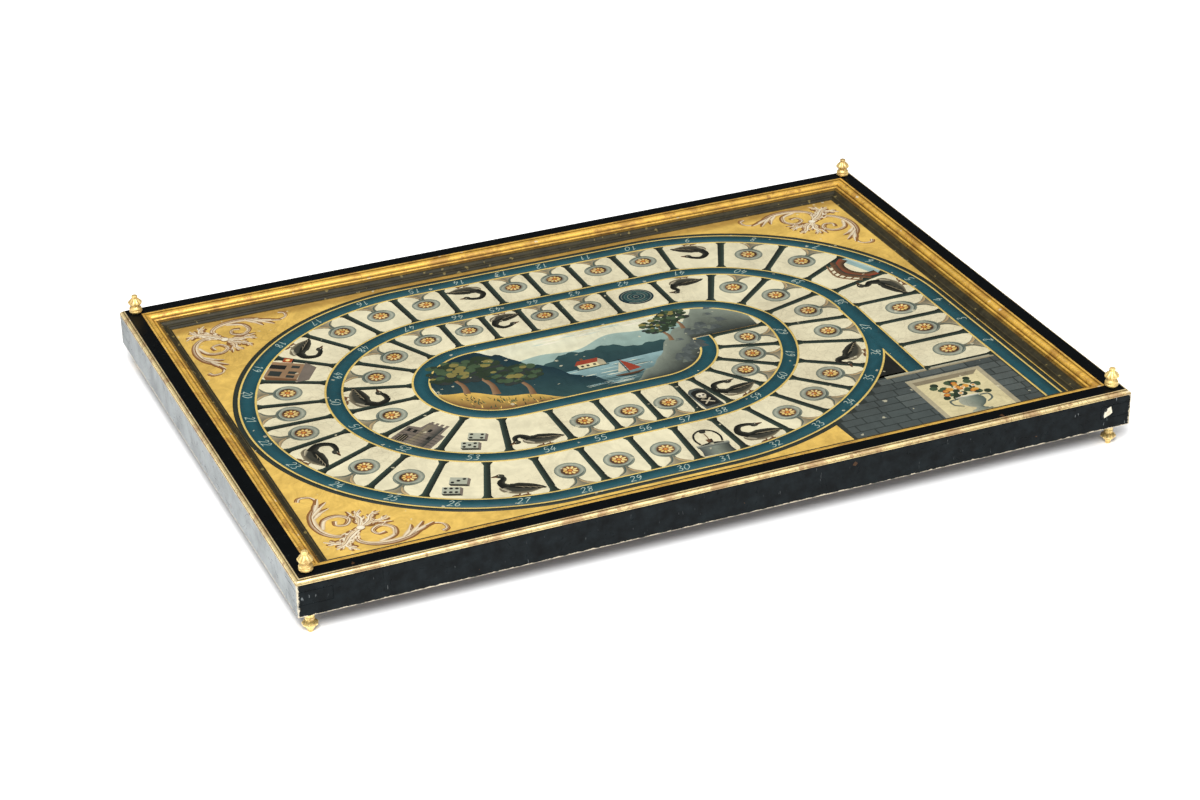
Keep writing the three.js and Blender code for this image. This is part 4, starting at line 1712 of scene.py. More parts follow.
    def well(self) -> None:
        """Draw a stone well with an iron arch, a pulley and a bucket."""
        self.stroke(((0, 1), (0, 9), (0, 18)), (30, 27, 28),
                    (Pigment.STONE, Pigment.DISC, Pigment.STONE_DARK), 0.2, 2)
        self.stroke(((-15, 18), (15, 18)), (4.4, 4.4), (Pigment.DISC_LIGHT, Pigment.STONE), 0.28, 2)
        self.stroke(((-11, 19.5), (0, 21), (11, 19.5)), (1, 3.6, 1), (Pigment.BLACK,), 0.34, 3)
        hoop = arc(12, 16, 30, (3.7, 3.1, 2.4, 1.57, 0.75, 0.05, -0.55))
        self.stroke(hoop, (1.8, 1.8), (Pigment.BLACK, Pigment.SLATE), 0.38, 3)
        self.disc((0, 43), ((3.0, Pigment.BLACK), (1.2, Pigment.SLATE_LIGHT)), 0.42, sides=12)
        self.stroke(((0, 39), (0.4, 33), (0, 27)), (0.7, 0.7), (Pigment.BROWN,), 0.42, 2)
        self.stroke(((0, 23), (0, 28)), (4.6, 6.0), (Pigment.BROWN, Pigment.BLACK), 0.46, 1)

    def maze(self) -> None:
        """Draw a round hedge maze."""
        rise, squash, gate, steps = 28, 0.92, 0.6, 16
        self.disc((0, rise), ((21, Pigment.DEEP), (12, Pigment.DUSK), (4, Pigment.DEEP)), 0.2, squash, 30)
        for ring, (radius, gap) in enumerate(((18.0, 0.4), (14.2, 2.6), (10.4, 4.6), (6.6, 1.2), (3.0, 3.4))):
            turns = [gap + gate / 2 + step * (2 * math.pi - gate) / steps for step in range(steps + 1)]
            tone = Pigment.DISC if ring % 2 == 0 else Pigment.DUSK_LIGHT
            self.stroke(arc(radius, squash * radius, rise, turns), (0.9, 0.9), (tone,), 0.32, 2)

    def tower(self) -> None:
        """Draw a stone tower with a barred door."""
        outline = ((-20, 1), (20, 1), (19, 26), (14, 27), (13, 38), (-6, 41), (-8, 30), (-19, 28))
        self.patch(outline, Pigment.BROWN_GREY, 0.2)
        self.stroke(((4, 2), (4, 20), (3, 38)), (18, 16, 16),
                    (Pigment.FOOT_DARK, Pigment.BROWN_GREY, Pigment.STONE_DARK), 0.24, 2)
        for across in (-5, 0, 5, 10):
            self.block((across, 38), (across + 2.8, 43), Pigment.BROWN_GREY, 0.26)
        self.stroke(((-12, 2), (-12, 11), (-12, 14)), (8, 8, 2), (Pigment.BLACK,), 0.3, 2)
        for bar in (-14.4, -12, -9.6):
            self.stroke(((bar, 2), (bar, 12)), (0.7, 0.7), (Pigment.FOOT_DARK,), 0.38, 1)
        for across, up in ((1, 26), (7, 14), (-16, 20), (-10, 20)):
            self.block((across, up), (across + 3, up + 5), Pigment.BLACK, 0.3)
        for course in range(5):
            up = 6 + 4.6 * course
            self.stroke(((-18, up), (18, up)), (0.5, 0.5), (Pigment.STONE_DARK,), 0.28, 1)

    def tomb(self) -> None:
        """Draw a round-topped stone with a skull and crossed bones."""
        self.stroke(((0, 1), (0, 24), (0, 36), (0, 42)), (20, 20, 18, 8),
                    (Pigment.STONE_LIGHT, Pigment.STONE, Pigment.STONE_DARK), 0.2, 3)
        self.stroke(((0, 5), (0, 24), (0, 34), (0, 38)), (16, 16, 14, 5), (Pigment.BLACK,), 0.28, 3)
        for lean in (-1, 1):
            self.stroke(((-5 * lean, 10), (5 * lean, 19)), (1.7, 1.7), (Pigment.FEATHER,), 0.36, 2)
        self.disc((0, 27), ((5.0, Pigment.FEATHER), (2.5, Pigment.WHITE)), 0.4, 1.0, 14)
        self.stroke(((0, 24), (0, 20.5)), (5.4, 4.4), (Pigment.FEATHER,), 0.4, 1)
        for across in (-2, 2):
            self.disc((across, 26.4), ((1.4, Pigment.BLACK),), 0.5, sides=8)

    def scroll(self, spine: Sequence[Point], widths: Sequence[float], level: float) -> None:
        """Draw one white brush stroke of a scroll with its brown shade beside it.

        Args:
            spine: the points that the stroke passes.
            widths: its widths along the way.
            level: the height of the paint.
        """
        slim, dark_share, shade_shift, dark_shift = 0.82, 0.36, 1.1, 0.5
        widths = [slim * width for width in widths]
        shade = [(x + shade_shift, y - shade_shift) for x, y in spine]
        self.stroke(shade, widths, (Pigment.SCROLL_SHADE,), level - 0.05, 5)
        tones = (Pigment.SCROLL_MID, Pigment.SCROLL, Pigment.SCROLL_SHADE)
        self.stroke(spine, widths, tones, level, 5)
        dark = [(x + dark_shift, y - dark_shift) for x, y in spine[1:]]
        narrow = [dark_share * width for width in widths[1:]]
        self.stroke(dark, narrow, (Pigment.SCROLL_SHADE,), level + 0.02, 5)

    def leaf(self, spine: Sequence[Point], width: float, level: float) -> None:
        """Draw a lobed scroll leaf along a curve.

        Args:
            spine: the points that its rib passes, from root to tip.
            width: the reach of its lobes at the root.
            level: the height of the paint.
        """
        line = flowing(spine, 6)
        lobes, lean = 4, 0.62
        for lobe in range(lobes):
            share = 0.12 + 0.62 * lobe / (lobes - 1)
            here = int(share * (len(line) - 1))
            heading = math.atan2(line[here + 1][1] - line[here][1], line[here + 1][0] - line[here][0])
            size = width * (1.0 - 0.45 * share)
            for side in (1, -1):
                root = self.moved(*line[here], heading + lean * side)
                curl = size * side
                bend = ((0, 0), (0.5 * size, 0.08 * curl), (0.85 * size, 0.0), (size, -0.2 * curl))
                root.scroll(bend, [part * size for part in (0.34, 0.6, 0.44, 0.1)], level + 0.01 * lobe)
        body = [part * width for part in (0.4, 0.6, 0.44, 0.1)]
        self.stroke(spine, body, (Pigment.SCROLL, Pigment.SCROLL, Pigment.SCROLL_MID), level + 0.07, 6)
        self.stroke(spine, (0.3, 0.7, 0.5, 0.2), (Pigment.SCROLL_SHADE,), level + 0.13, 6)

    def spray(self) -> None:
        """Draw one corner's scrolls, with an arm along each side of the corner."""
        stem = ((41, 40), (35, 31), (34, 20), (44, 11), (60, 8), (76, 11), (89, 19))
        volute = ((50, 12), (64, 18), (67, 30), (59, 38), (50, 33), (52, 25), (59, 26))
        tail = ((87, 17), (99, 22), (107, 18), (108, 10), (103, 7))
        tips = (((70, 11), (78, 19), (82, 28)), ((76, 12), (86, 21), (93, 29)),
                ((82, 15), (92, 20), (101, 24)))
        strokes = ((volute, (5.5, 5, 5.5, 5.5, 4, 3.4, 4.4), 0.24), (tail, (3.6, 3, 3.2, 3.6, 4.6), 0.24),
                   (stem, (3, 4.4, 6, 7, 8.4, 7.6, 3), 0.3),
                   *((tip, (3.4, 6.4, 4.2, 0.8), 0.34) for tip in tips),
                   (((60, 37), (64, 41), (70, 40)), (2.4, 4.4, 1.0), 0.28))
        corner = self.place
        other_side = Place(corner.x, corner.y, corner.turn - math.pi / 2, 1.0, True)
        for arm in (self, Motif(self.coat, other_side)):
            for spine, widths, level in strokes:
                arm.scroll(spine, widths, level)
            arm.leaf(((38, 34), (28, 25), (16, 23), (6, 30)), 9, 0.34)
            arm.leaf(((44, 42), (54, 46), (62, 45), (69, 51)), 8, 0.36)
        self.leaf(((40, 38), (30, 30), (21, 19), (12, 14)), 8.5, 0.42)
        self.leaf(((43, 41), (52, 48), (57, 57), (66, 60)), 7, 0.44)
        hub = ((4, Pigment.SCROLL_SHADE), (3.2, Pigment.SCROLL), (1.2, Pigment.WHITE))
        self.disc((42, 40), hub, 0.62, sides=12)


@dataclass(frozen=True)
class StartPicture(Brush):
    """The picture by the start: a stone wall with a niche that holds an urn of flowers."""

    dice: random.Random = field(default_factory=random.Random)
    plan: SpiralPlan = SpiralPlan()
    low_end: float = -235
    right_end: float = 326
    course: float = 11.6
    joint: float = 0.6
    least_stone: float = 4
    middle: float = 264

    def paint(self) -> None:
        """Paint the picture."""
        self.wall()
        self.niche()
        self.urn()
        self.flowers()

    def wall(self) -> None:
        """Paint the courses of stones."""
        bend_x, bend_y = self.plan.bend_middle
        curve = self.plan.front_bend(-63, -40.7, 6)
        edge = [curve.at(share / 8)[0] for share in range(9)]
        self.patch([*edge, (328, -139), (328, self.low_end), (135, self.low_end)], Pigment.STONE_DARK, 0.1)
        tones = (Pigment.STONE, Pigment.STONE_LIGHT, Pigment.STONE)
        for row in range(8):
            low = self.low_end + self.course * row
            bend = bend_x + round_height(self.plan.bend_radius + 14, low - bend_y) + 2
            left = 138.0 if row < 3 else bend
            across = left - (12 if row % 2 else 0)
            while across < self.right_end:
                wide = self.dice.uniform(20, 27)
                start, end = max(across, left), min(across + wide - 2 * self.joint, self.right_end)
                if end - start > self.least_stone:
                    top = low + self.course - self.joint
                    self.block((start, low + self.joint), (end, top), self.dice.choice(tones), 0.16)
                across += wide

    def niche(self) -> None:
        """Paint the coping and the niche under it."""
        coping = (Pigment.DISC_LIGHT, Pigment.FOOT, Pigment.FOOT_DARK)
        self.stroke(((214, -142), (327, -142)), (5, 5), coping, 0.24, 1)
        self.block((226, -234), (302, -156), Pigment.FOOT, 0.22)
        self.block((231, -234), (297, -161), Pigment.CREAM_WARM, 0.26)
        self.patch(((231, -161), (297, -161), (290, -168), (231, -168)), Pigment.FOOT_DARK, 0.28)

    def urn(self) -> None:
        """Paint the urn with its two handles."""
        middle = self.middle
        for side in (1, -1):
            bow = ((11, -206), (19, -207), (19, -215), (12, -220))
            handle = [(middle + out * side, up) for out, up in bow]
            self.stroke(handle, (2.2, 2.2, 2.0, 1.6), (Pigment.DISC_RIM, Pigment.DISC_SHADE), 0.3, 5)
        axis = [(middle, up) for up in (-233, -231, -228.5, -226, -222, -216, -210, -206, -203)]
        body = (Pigment.DISC_LIGHT, Pigment.DISC, Pigment.DISC_SHADE)
        self.stroke(axis, (22, 20, 9, 7, 17, 25, 25, 20, 22), body, 0.34, 4)
        lip = ((middle - 12, -204), (middle + 12, -204))
        self.stroke(lip, (3, 3), (Pigment.WHITE, Pigment.DISC), 0.38, 1)

    def flowers(self) -> None:
        """Paint the leaves and blooms over the urn."""
        dice = self.dice
        for count in range(34):
            spot = (self.middle + dice.uniform(-22, 22), -190 + dice.uniform(-13, 17))
            dab = (dice.uniform(2.5, 4.5), dice.choice((Pigment.LEAF, Pigment.LEAF_DARK)))
            self.disc(spot, (dab,), 0.36 + 0.001 * count, sides=9)
        for count in range(16):
            spot = (self.middle + dice.uniform(-18, 18), -189 + dice.uniform(-11, 15))
            bloom = dice.choice((Pigment.RED, Pigment.GOLD, Pigment.WHITE))
            rings = ((dice.uniform(2.2, 3.4), bloom), (1.0, Pigment.GOLD))
            self.disc(spot, rings, 0.42 + 0.002 * count, sides=10)


@dataclass(frozen=True)
class Skyline:
    """The upper edge of a plane in the landscape, with waves of a size, a length and a shift."""

    level: float
    slope: float = 0.0
    start: float = 0.0
    waves: tuple[Spot, ...] = ()
    flat_before: bool = False

    def __call__(self, x: float) -> float:
        """The edge's height at a place along the board.

        Args:
            x: the place.

        Returns:
            The height.
        """
        along = max(x - self.start, 0) if self.flat_before else x - self.start
        swell = sum(size * math.sin(x / length + shift) for size, length, shift in self.waves)
        return self.level + self.slope * along + swell


@dataclass(frozen=True)
class CentrePicture(Brush):
    """The landscape in the middle: a lake between an ochre bank and a rocky shore."""

    dice: random.Random = field(default_factory=random.Random)
    sky: Skyline = Skyline(80.0)
    hills: Skyline = Skyline(40, waves=((8, 31, 0), (4, 11, 0)))
    woods: Skyline = Skyline(22, waves=((7, 23, 2), (3, 7, 0), (1.5, 2.3, 0)))
    lake: Skyline = Skyline(-5, waves=((1.5, 40, 0),))
    grove: Skyline = Skyline(72, -1.2, -108, ((4, 5, 0), (2, 2.1, 0)), True)
    cliff: Skyline = Skyline(0, 1.15, 55, ((4, 9, 0), (2, 3, 0)))
    bank: Skyline = Skyline(4, -0.52, -165, ((3, 8, 0),))
    stations: range = range(-167, 160, 4)
    bottom: float = -60
    thinnest_plane: float = 0.4
    trees: tuple[Spot, ...] = (
        (-142, -8, 1.35), (-118, -20, 1.6), (-88, -34, 1.3), (70, 12, 0.95), (90, 30, 0.9))

    def paint(self) -> None:
        """Paint the planes from back to front, and what stands on them."""
        for top, low, high, level in ((self.sky, Pigment.CREAM_WARM, Pigment.SKY, 0.1),
                                      (self.hills, Pigment.DUSK_LIGHT, Pigment.HILL, 0.13),
                                      (self.woods, Pigment.DEEP, Pigment.DUSK, 0.16),
                                      (self.lake, Pigment.DUSK, Pigment.WATER, 0.19),
                                      (self.grove, Pigment.DUSK, Pigment.DEEP, 0.24),
                                      (self.cliff, Pigment.STONE_DARK, Pigment.DISC, 0.25),
                                      (self.bank, Pigment.BROWN, Pigment.OCHRE_WORN, 0.27)):
            self.plane(top, low, high, level)
        self.clouds()
        self.ripples()
        self.moved(-20, -7).cottage()
        self.moved(8, -33).boat()
        self.rocks()
        self.grasses()
        for x, y, size in self.trees:
            self.moved(x, y, 0.0, size).tree()

    @staticmethod
    def span(x: float) -> Point:
        """Find the room inside the innermost band.

        Args:
            x: the place along the board.

        Returns:
            The lowest and the highest paint there.
        """
        left, low_bend, high_bend, inner_end = -109, 35, 97, 88
        if x < left:
            half = round_height(59.5, x - left)
            return 8.25 - half, 8.25 + half
        low = -51.5
        if x > low_bend:
            low = 4 - round_height(55.5, x - low_bend) if x < inner_end else 7.5
        high = 68.0 if x <= high_bend else 1 + round_height(67, x - high_bend)
        return low, max(high, low + 0.5)

    def plane(self, top: Skyline, low: Pigment, high: Pigment, level: float) -> None:
        """Lay one plane of the picture.

        Args:
            top: its upper edge.
            low: the colour at its foot.
            high: the colour at its top.
            level: the height of the paint.
        """
        shares = [part / 4 for part in range(5)]
        rows = []
        for x in self.stations:
            floor, roof = self.span(x)
            start = max(self.bottom, floor)
            height = max(min(top(x), roof) - start, self.thinnest_plane)
            rows.append([(x, start + height * share) for share in shares])
        tints = [mixed(low.rgba, high.rgba, share) for share in shares]
        self.coat.sheet(rows, [tints] * len(rows), level)

    def clouds(self) -> None:
        """Paint long grey and white clouds."""
        dice = self.dice
        for count in range(16):
            x, y = dice.uniform(-55, 50), dice.uniform(52, 65)
            tone = dice.choice((Pigment.WHITE, Pigment.HILL_FAR, Pigment.CREAM))
            end = (x + dice.uniform(12, 34), y + dice.uniform(-0.8, 0.8))
            self.stroke(((x, y), end), (0.4, 2.6, 0.3), (tone,), 0.11 + 0.001 * count, 2)

    def ripples(self) -> None:
        """Paint light and dark ripples on the lake."""
        dice = self.dice
        for count in range(60):
            x, y = dice.uniform(-46, 40), dice.uniform(-46, -9)
            tone = dice.choice((Pigment.SKY, Pigment.HILL_FAR, Pigment.DUSK, Pigment.WATER))
            end = (x + dice.uniform(8, 22), y + dice.uniform(-0.6, 0.6))
            if y > self.cliff(end[0]) + 2:
                self.stroke(((x, y), end), (0.4, 1.1, 0.3), (tone,), 0.2 + 0.0005 * count, 2)

    def rocks(self) -> None:
        """Paint the grey rocks of the right shore."""
        dice = self.dice
        crest = ((0, 0, 0), (1, 0, -0.5), (0.85, 0.42, 0), (0.35, 0.55, 0))
        side = ((0, 0, 0), (0.5, 0, -0.2), (0.45, 0.5, 0), (0.3, 0.5, 0))
        tones = ((Pigment.DISC_RIM, Pigment.STONE_LIGHT), (Pigment.STONE_LIGHT, Pigment.STONE))
        for count in range(30):
            x = dice.uniform(48, 124)
            y = self.cliff(x) - dice.uniform(12, 50)
            if y < self.span(x)[0] + 2:
                continue
            wide = dice.uniform(9, 18)
            lit, dark = dice.choice(tones)
            level = 0.28 + 0.004 * count
            for outline, tone, height in ((crest, dark, level), (side, lit, level + 0.002)):
                points = [(x + wide * across, y + wide * up + drop) for across, up, drop in outline]
                self.patch(points, tone, height)

    def grasses(self) -> None:
        """Paint tufts of grass on the left bank."""
        dice = self.dice
        for _ in range(90):
            x = dice.uniform(-150, -70)
            y = self.bank(x) - dice.uniform(6, 34)
            if y < self.span(x)[0] + 1:
                continue
            tone = dice.choice((Pigment.LEAF, Pigment.LEAF_LIT, Pigment.LEAF_DARK, Pigment.OCHRE))
            tip = (x + dice.uniform(-2, 2), y + dice.uniform(3, 6))
            self.stroke(((x, y), tip), (1.4, 0.3), (tone,), 0.34, 2)

    def cottage(self) -> None:
        """Paint a small red-roofed house on the far shore."""
        self.block((-11, 0), (9, 9), Pigment.CREAM_WARM, 0.24)
        self.patch(((9, 0), (16, 1), (16, 10), (12.5, 15), (9, 9)), Pigment.FOOT, 0.24)
        self.patch(((-13, 8.4), (9.6, 8.4), (12.8, 16), (-8, 16)), Pigment.ROOF, 0.28)
        self.block((-4, 16), (-1, 20), Pigment.BROWN, 0.28)
        for across in (-8, -2.5, 4):
            self.block((across, 3), (across + 2.6, 6.4), Pigment.STONE_DARK, 0.28)
        self.stroke(((-14, -0.4), (18, 0)), (1.6, 1.6), (Pigment.LEAF_DARK,), 0.3, 1)

    def boat(self) -> None:
        """Paint a boat with a red sail and its shade on the water."""
        hull = ((-14, 1.6), (-6, -0.6), (6, -0.6), (15, 2.2))
        self.stroke(((-13, -2.6), (0, -3.4), (15, -2.4)), (0.6, 2.6, 0.5), (Pigment.DUSK,), 0.23, 3)
        self.stroke(hull, (1.2, 4.2, 4.2, 1.0), (Pigment.BROWN, Pigment.BLACK), 0.26, 4)
        self.stroke(((0, 1), (0.6, 31)), (1.0, 0.7), (Pigment.BLACK,), 0.3, 1)
        self.patch(((1.4, 5), (14, 7), (8, 18), (1.4, 29)), Pigment.ROOF, 0.28)
        self.patch(((-1, 6), (-9, 7), (-1, 25)), Pigment.FEATHER, 0.28)

    def tree(self) -> None:
        """Paint a tree in dabs of light and dark leaves."""
        dice = self.dice
        trunk = ((0, 0), (1.5, 12), (-1, 24), (1, 36))
        self.stroke(trunk, (5, 3.4, 2.6, 1.2), (Pigment.BROWN_LIGHT, Pigment.BROWN), 0.36, 3)
        half_wide, half_high = 17, 13
        for dabs, tones, rise, level in ((56, (Pigment.LEAF_DARK, Pigment.STONE_DARK), 32.0, 0.38),
                                         (26, (Pigment.LEAF_DARK, Pigment.LEAF), 35.0, 0.44),
                                         (9, (Pigment.LEAF, Pigment.LEAF_LIT), 36.0, 0.48)):
            for count in range(dabs):
                turn = dice.uniform(0, 2 * math.pi)
                reach = math.sqrt(dice.random())
                spot = (half_wide * reach * math.cos(turn), rise + half_high * reach * math.sin(turn))
                dab = (dice.uniform(1.8, 4.2), dice.choice(tones))
                self.disc(spot, (dab,), level + 0.001 * count, 0.8, 8)


@dataclass
class PaintedPanel:
    """The painted panel: the track, its motifs, the corner scrolls and the two pictures."""

    plan: SpiralPlan = field(default_factory=SpiralPlan)
    numeral_height: float = 8.6
    ribbon_level: float = 0.3
    ribbon_step: float = 0.01
    column_length: float = 60.0
    goose_size: float = 1.02
    mirrored_geese: tuple[int, ...] = (5, 18, 41, 45, 50)
    sight_half: Point = (350.5, 235.5)
    seed: int = 7

    @staticmethod
    def keep(piece: Piece) -> None:
        """Record a painted piece."""
        record_piece(piece, "painted_ground")

    def build(self) -> None:
        """Paint the panel, piece by piece."""
        stamps = StampTree()
        fields = self.plan.fields()
        self.track_ground()
        self.pictures()
        self.columns(stamps)
        self.discs(stamps, fields)
        self.geese(fields)
        self.stops(fields)
        self.bands(RibbonTree())
        self.numbers(fields)
        self.corner_scrolls()

    def track_ground(self) -> None:
        """Lay the cream ground under the fields, and the dark corner by the first fields."""
        plan, low = self.plan, self.plan.low_edge
        brush = Brush(PaintLayer("track_cream"))
        rim = (Straight((336, low), (336, 0)), *plan.outer_loop()[1:], *plan.inner_loops()[:1])
        brush.patch(Track(rim).sampled(9.0) + [(250, low)], Pigment.CREAM, 0.06)
        brush.patch(((205, low), (247, low), (250, 5), (243, -30), (230, -84)), Pigment.BLACK, 0.1)
        self.keep(brush.coat.finished(OIL))

    def pictures(self) -> None:
        """Paint the picture by the start and the one in the middle."""
        start = StartPicture(PaintLayer("start_picture"), dice=random.Random(self.seed), plan=self.plan)
        centre = CentrePicture(PaintLayer("centre_picture"), dice=random.Random(self.seed + 1))
        for picture in (start, centre):
            picture.paint()
            self.keep(picture.coat.finished(OIL))

    def bands(self, ribbons: RibbonTree) -> None:
        """Lay the teal band and the lines along it, each a little over the last.

        Args:
            ribbons: the tree that lays them.
        """
        plan, line = self.plan, self.plan.line_width
        spiral = plan.band().sampled(4.0)
        stub = plan.stub().sampled(10.0)
        outside = Track(plan.outer_loop()[:-1] + (plan.front_bend(-90, -63),)).sampled(4.0)
        edge = (plan.band_width + line) / 2
        stub_edge = plan.stub_half + line / 2
        rim_middle = plan.half_band + plan.rim_width / 2
        laid = (("stub_line_left", stub, line, stub_edge, Pigment.YELLOW),
                ("stub_line_right", stub, line, -stub_edge, Pigment.YELLOW),
                ("track_line_inner", spiral, line, -edge, Pigment.YELLOW),
                ("track_line_outer", spiral, line, edge, Pigment.YELLOW),
                ("track_rim_dark", outside, plan.rim_width, rim_middle, Pigment.DARK_GREEN),
                ("track_band", spiral, plan.band_width, 0.0, Pigment.TEAL),
                ("track_band_stub", stub, 2 * plan.stub_half, 0.0, Pigment.TEAL))
        for number, (name, points, width, sideways, pigment) in enumerate(laid):
            thickness = self.ribbon_level + self.ribbon_step * number
            guide = line_object(points, GROUND_TOP + thickness / 2)
            self.keep(ribbons.made(name, guide, OIL, Width=width * MM, Thickness=thickness * MM,
                                   Sideways=sideways * MM, Tint=pigment.rgba))

    def stamped(self, stamps: StampTree, name: str, coat: PaintLayer, places: Sequence[Any]) -> None:
        """Set a motif at its places.

        Args:
            stamps: the tree that sets it.
            name: the name of the piece.
            coat: the motif's paint.
            places: each place's point, turn and length.
        """
        motif = coat.finished(OIL)
        spots = [(foot, turn, Vector((1.0, length, 1.0))) for foot, turn, length in places]
        piece = stamps.made(name, stamp_points(spots, GROUND_TOP), OIL, Motif=motif)
        bpy.data.objects.remove(motif)
        self.keep(piece)

    def columns(self, stamps: StampTree) -> None:
        """Set the columns between the fields.

        Args:
            stamps: the tree that sets them.
        """
        motif = Motif(PaintLayer("column_motif", 0.0))
        motif.column(self.column_length)
        places = [(foot, turn, reach / self.column_length) for foot, turn, reach in self.plan.columns()]
        self.stamped(stamps, "field_columns", motif.coat, places)

    def discs(self, stamps: StampTree, fields: Sequence[Field]) -> None:
        """Set the ringed discs on their feet.

        Args:
            stamps: the tree that sets them.
            fields: the fields of the track.
        """
        motif = Motif(PaintLayer("disc_motif", 0.0))
        motif.rosette_stand()
        places = [(here.foot, here.turn, here.place.scale) for here in fields
                  if not here.has_goose and not here.is_stop]
        self.stamped(stamps, "field_discs", motif.coat, places)

    def geese(self, fields: Sequence[Field]) -> None:
        """Paint the geese.

        Args:
            fields: the fields of the track.
        """
        coat = PaintLayer("field_geese")
        poses = {5: NeckPose.PROUD, 27: NeckPose.PROUD, 41: NeckPose.PROUD, 36: NeckPose.LOW,
                 54: NeckPose.LOW}
        for here in fields:
            if here.has_goose:
                mirror = here.number in self.mirrored_geese
                stand = Place(*here.foot, here.turn, here.place.scale * self.goose_size, mirror)
                Motif(coat, stand).goose(poses.get(here.number, NeckPose.ARCHED))
        self.keep(coat.finished(OIL))

    def stops(self, fields: Sequence[Field]) -> None:
        """Paint the stops.

        Args:
            fields: the fields of the track.
        """
        coat = PaintLayer("field_stops")
        places = {here.number: here.place for here in fields}
        for kind in Stop:
            Motif(coat, places[kind.value]).stop(kind)
        self.keep(coat.finished(OIL))

    def numbers(self, fields: Sequence[Field]) -> None:
        """Write the numbers on the band outside each field.

        Args:
            fields: the fields of the track.
        """
        coat = PaintLayer("field_numbers")
        drop = self.plan.line_width + (self.plan.band_width + self.numeral_height) / 2
        for here in fields:
            stand = Place(*here.foot, here.turn).shifted(0.0, -drop)
            Motif(coat, stand).number(here.number, self.numeral_height)
        self.keep(coat.finished(OIL))

    def corner_scrolls(self) -> None:
        """Paint the leaf scrolls in three corners."""
        coat = PaintLayer("corner_scrolls")
        x, y = self.sight_half
        for corner in (Place(-x, -y), Place(-x, y, -math.pi / 2), Place(x, y, math.pi)):
            Motif(coat, corner).spray()
        self.keep(coat.finished(OIL))


@dataclass(frozen=True)
class MouldingSection:
    """A moulding's outline from the outer face inwards: points of inset and drop, each with its crest."""

    name: str
    node: str
    slot: str
    finish: Finish
    outline: tuple[Spot, ...]


def bowed(start: Point, end: Point, bow: float, steps: int, crests: Spot) -> list[Spot]:
    """Draw a curved part of a section.

    Args:
        start: its first inset and drop.
        end: its last inset and drop.
        bow: its rise over its chord, to the right of travel.
        steps: the pieces that it is drawn in.
        crests: the crest values of its start, middle and end, which set the wear, the dirt in the quirks and
            the painted highlight.

    Returns:
        The points of the curve with their crests.
    """
    along = (end[0] - start[0], end[1] - start[1])
    points = []
    for step in range(steps + 1):
        share = step / steps
        rise = 4 * share * (1 - share) * bow
        inset = start[0] + along[0] * share + along[1] * rise
        drop = start[1] + along[1] * share - along[0] * rise
        points.append((inset, drop, ramp(crests, share)))
    return points


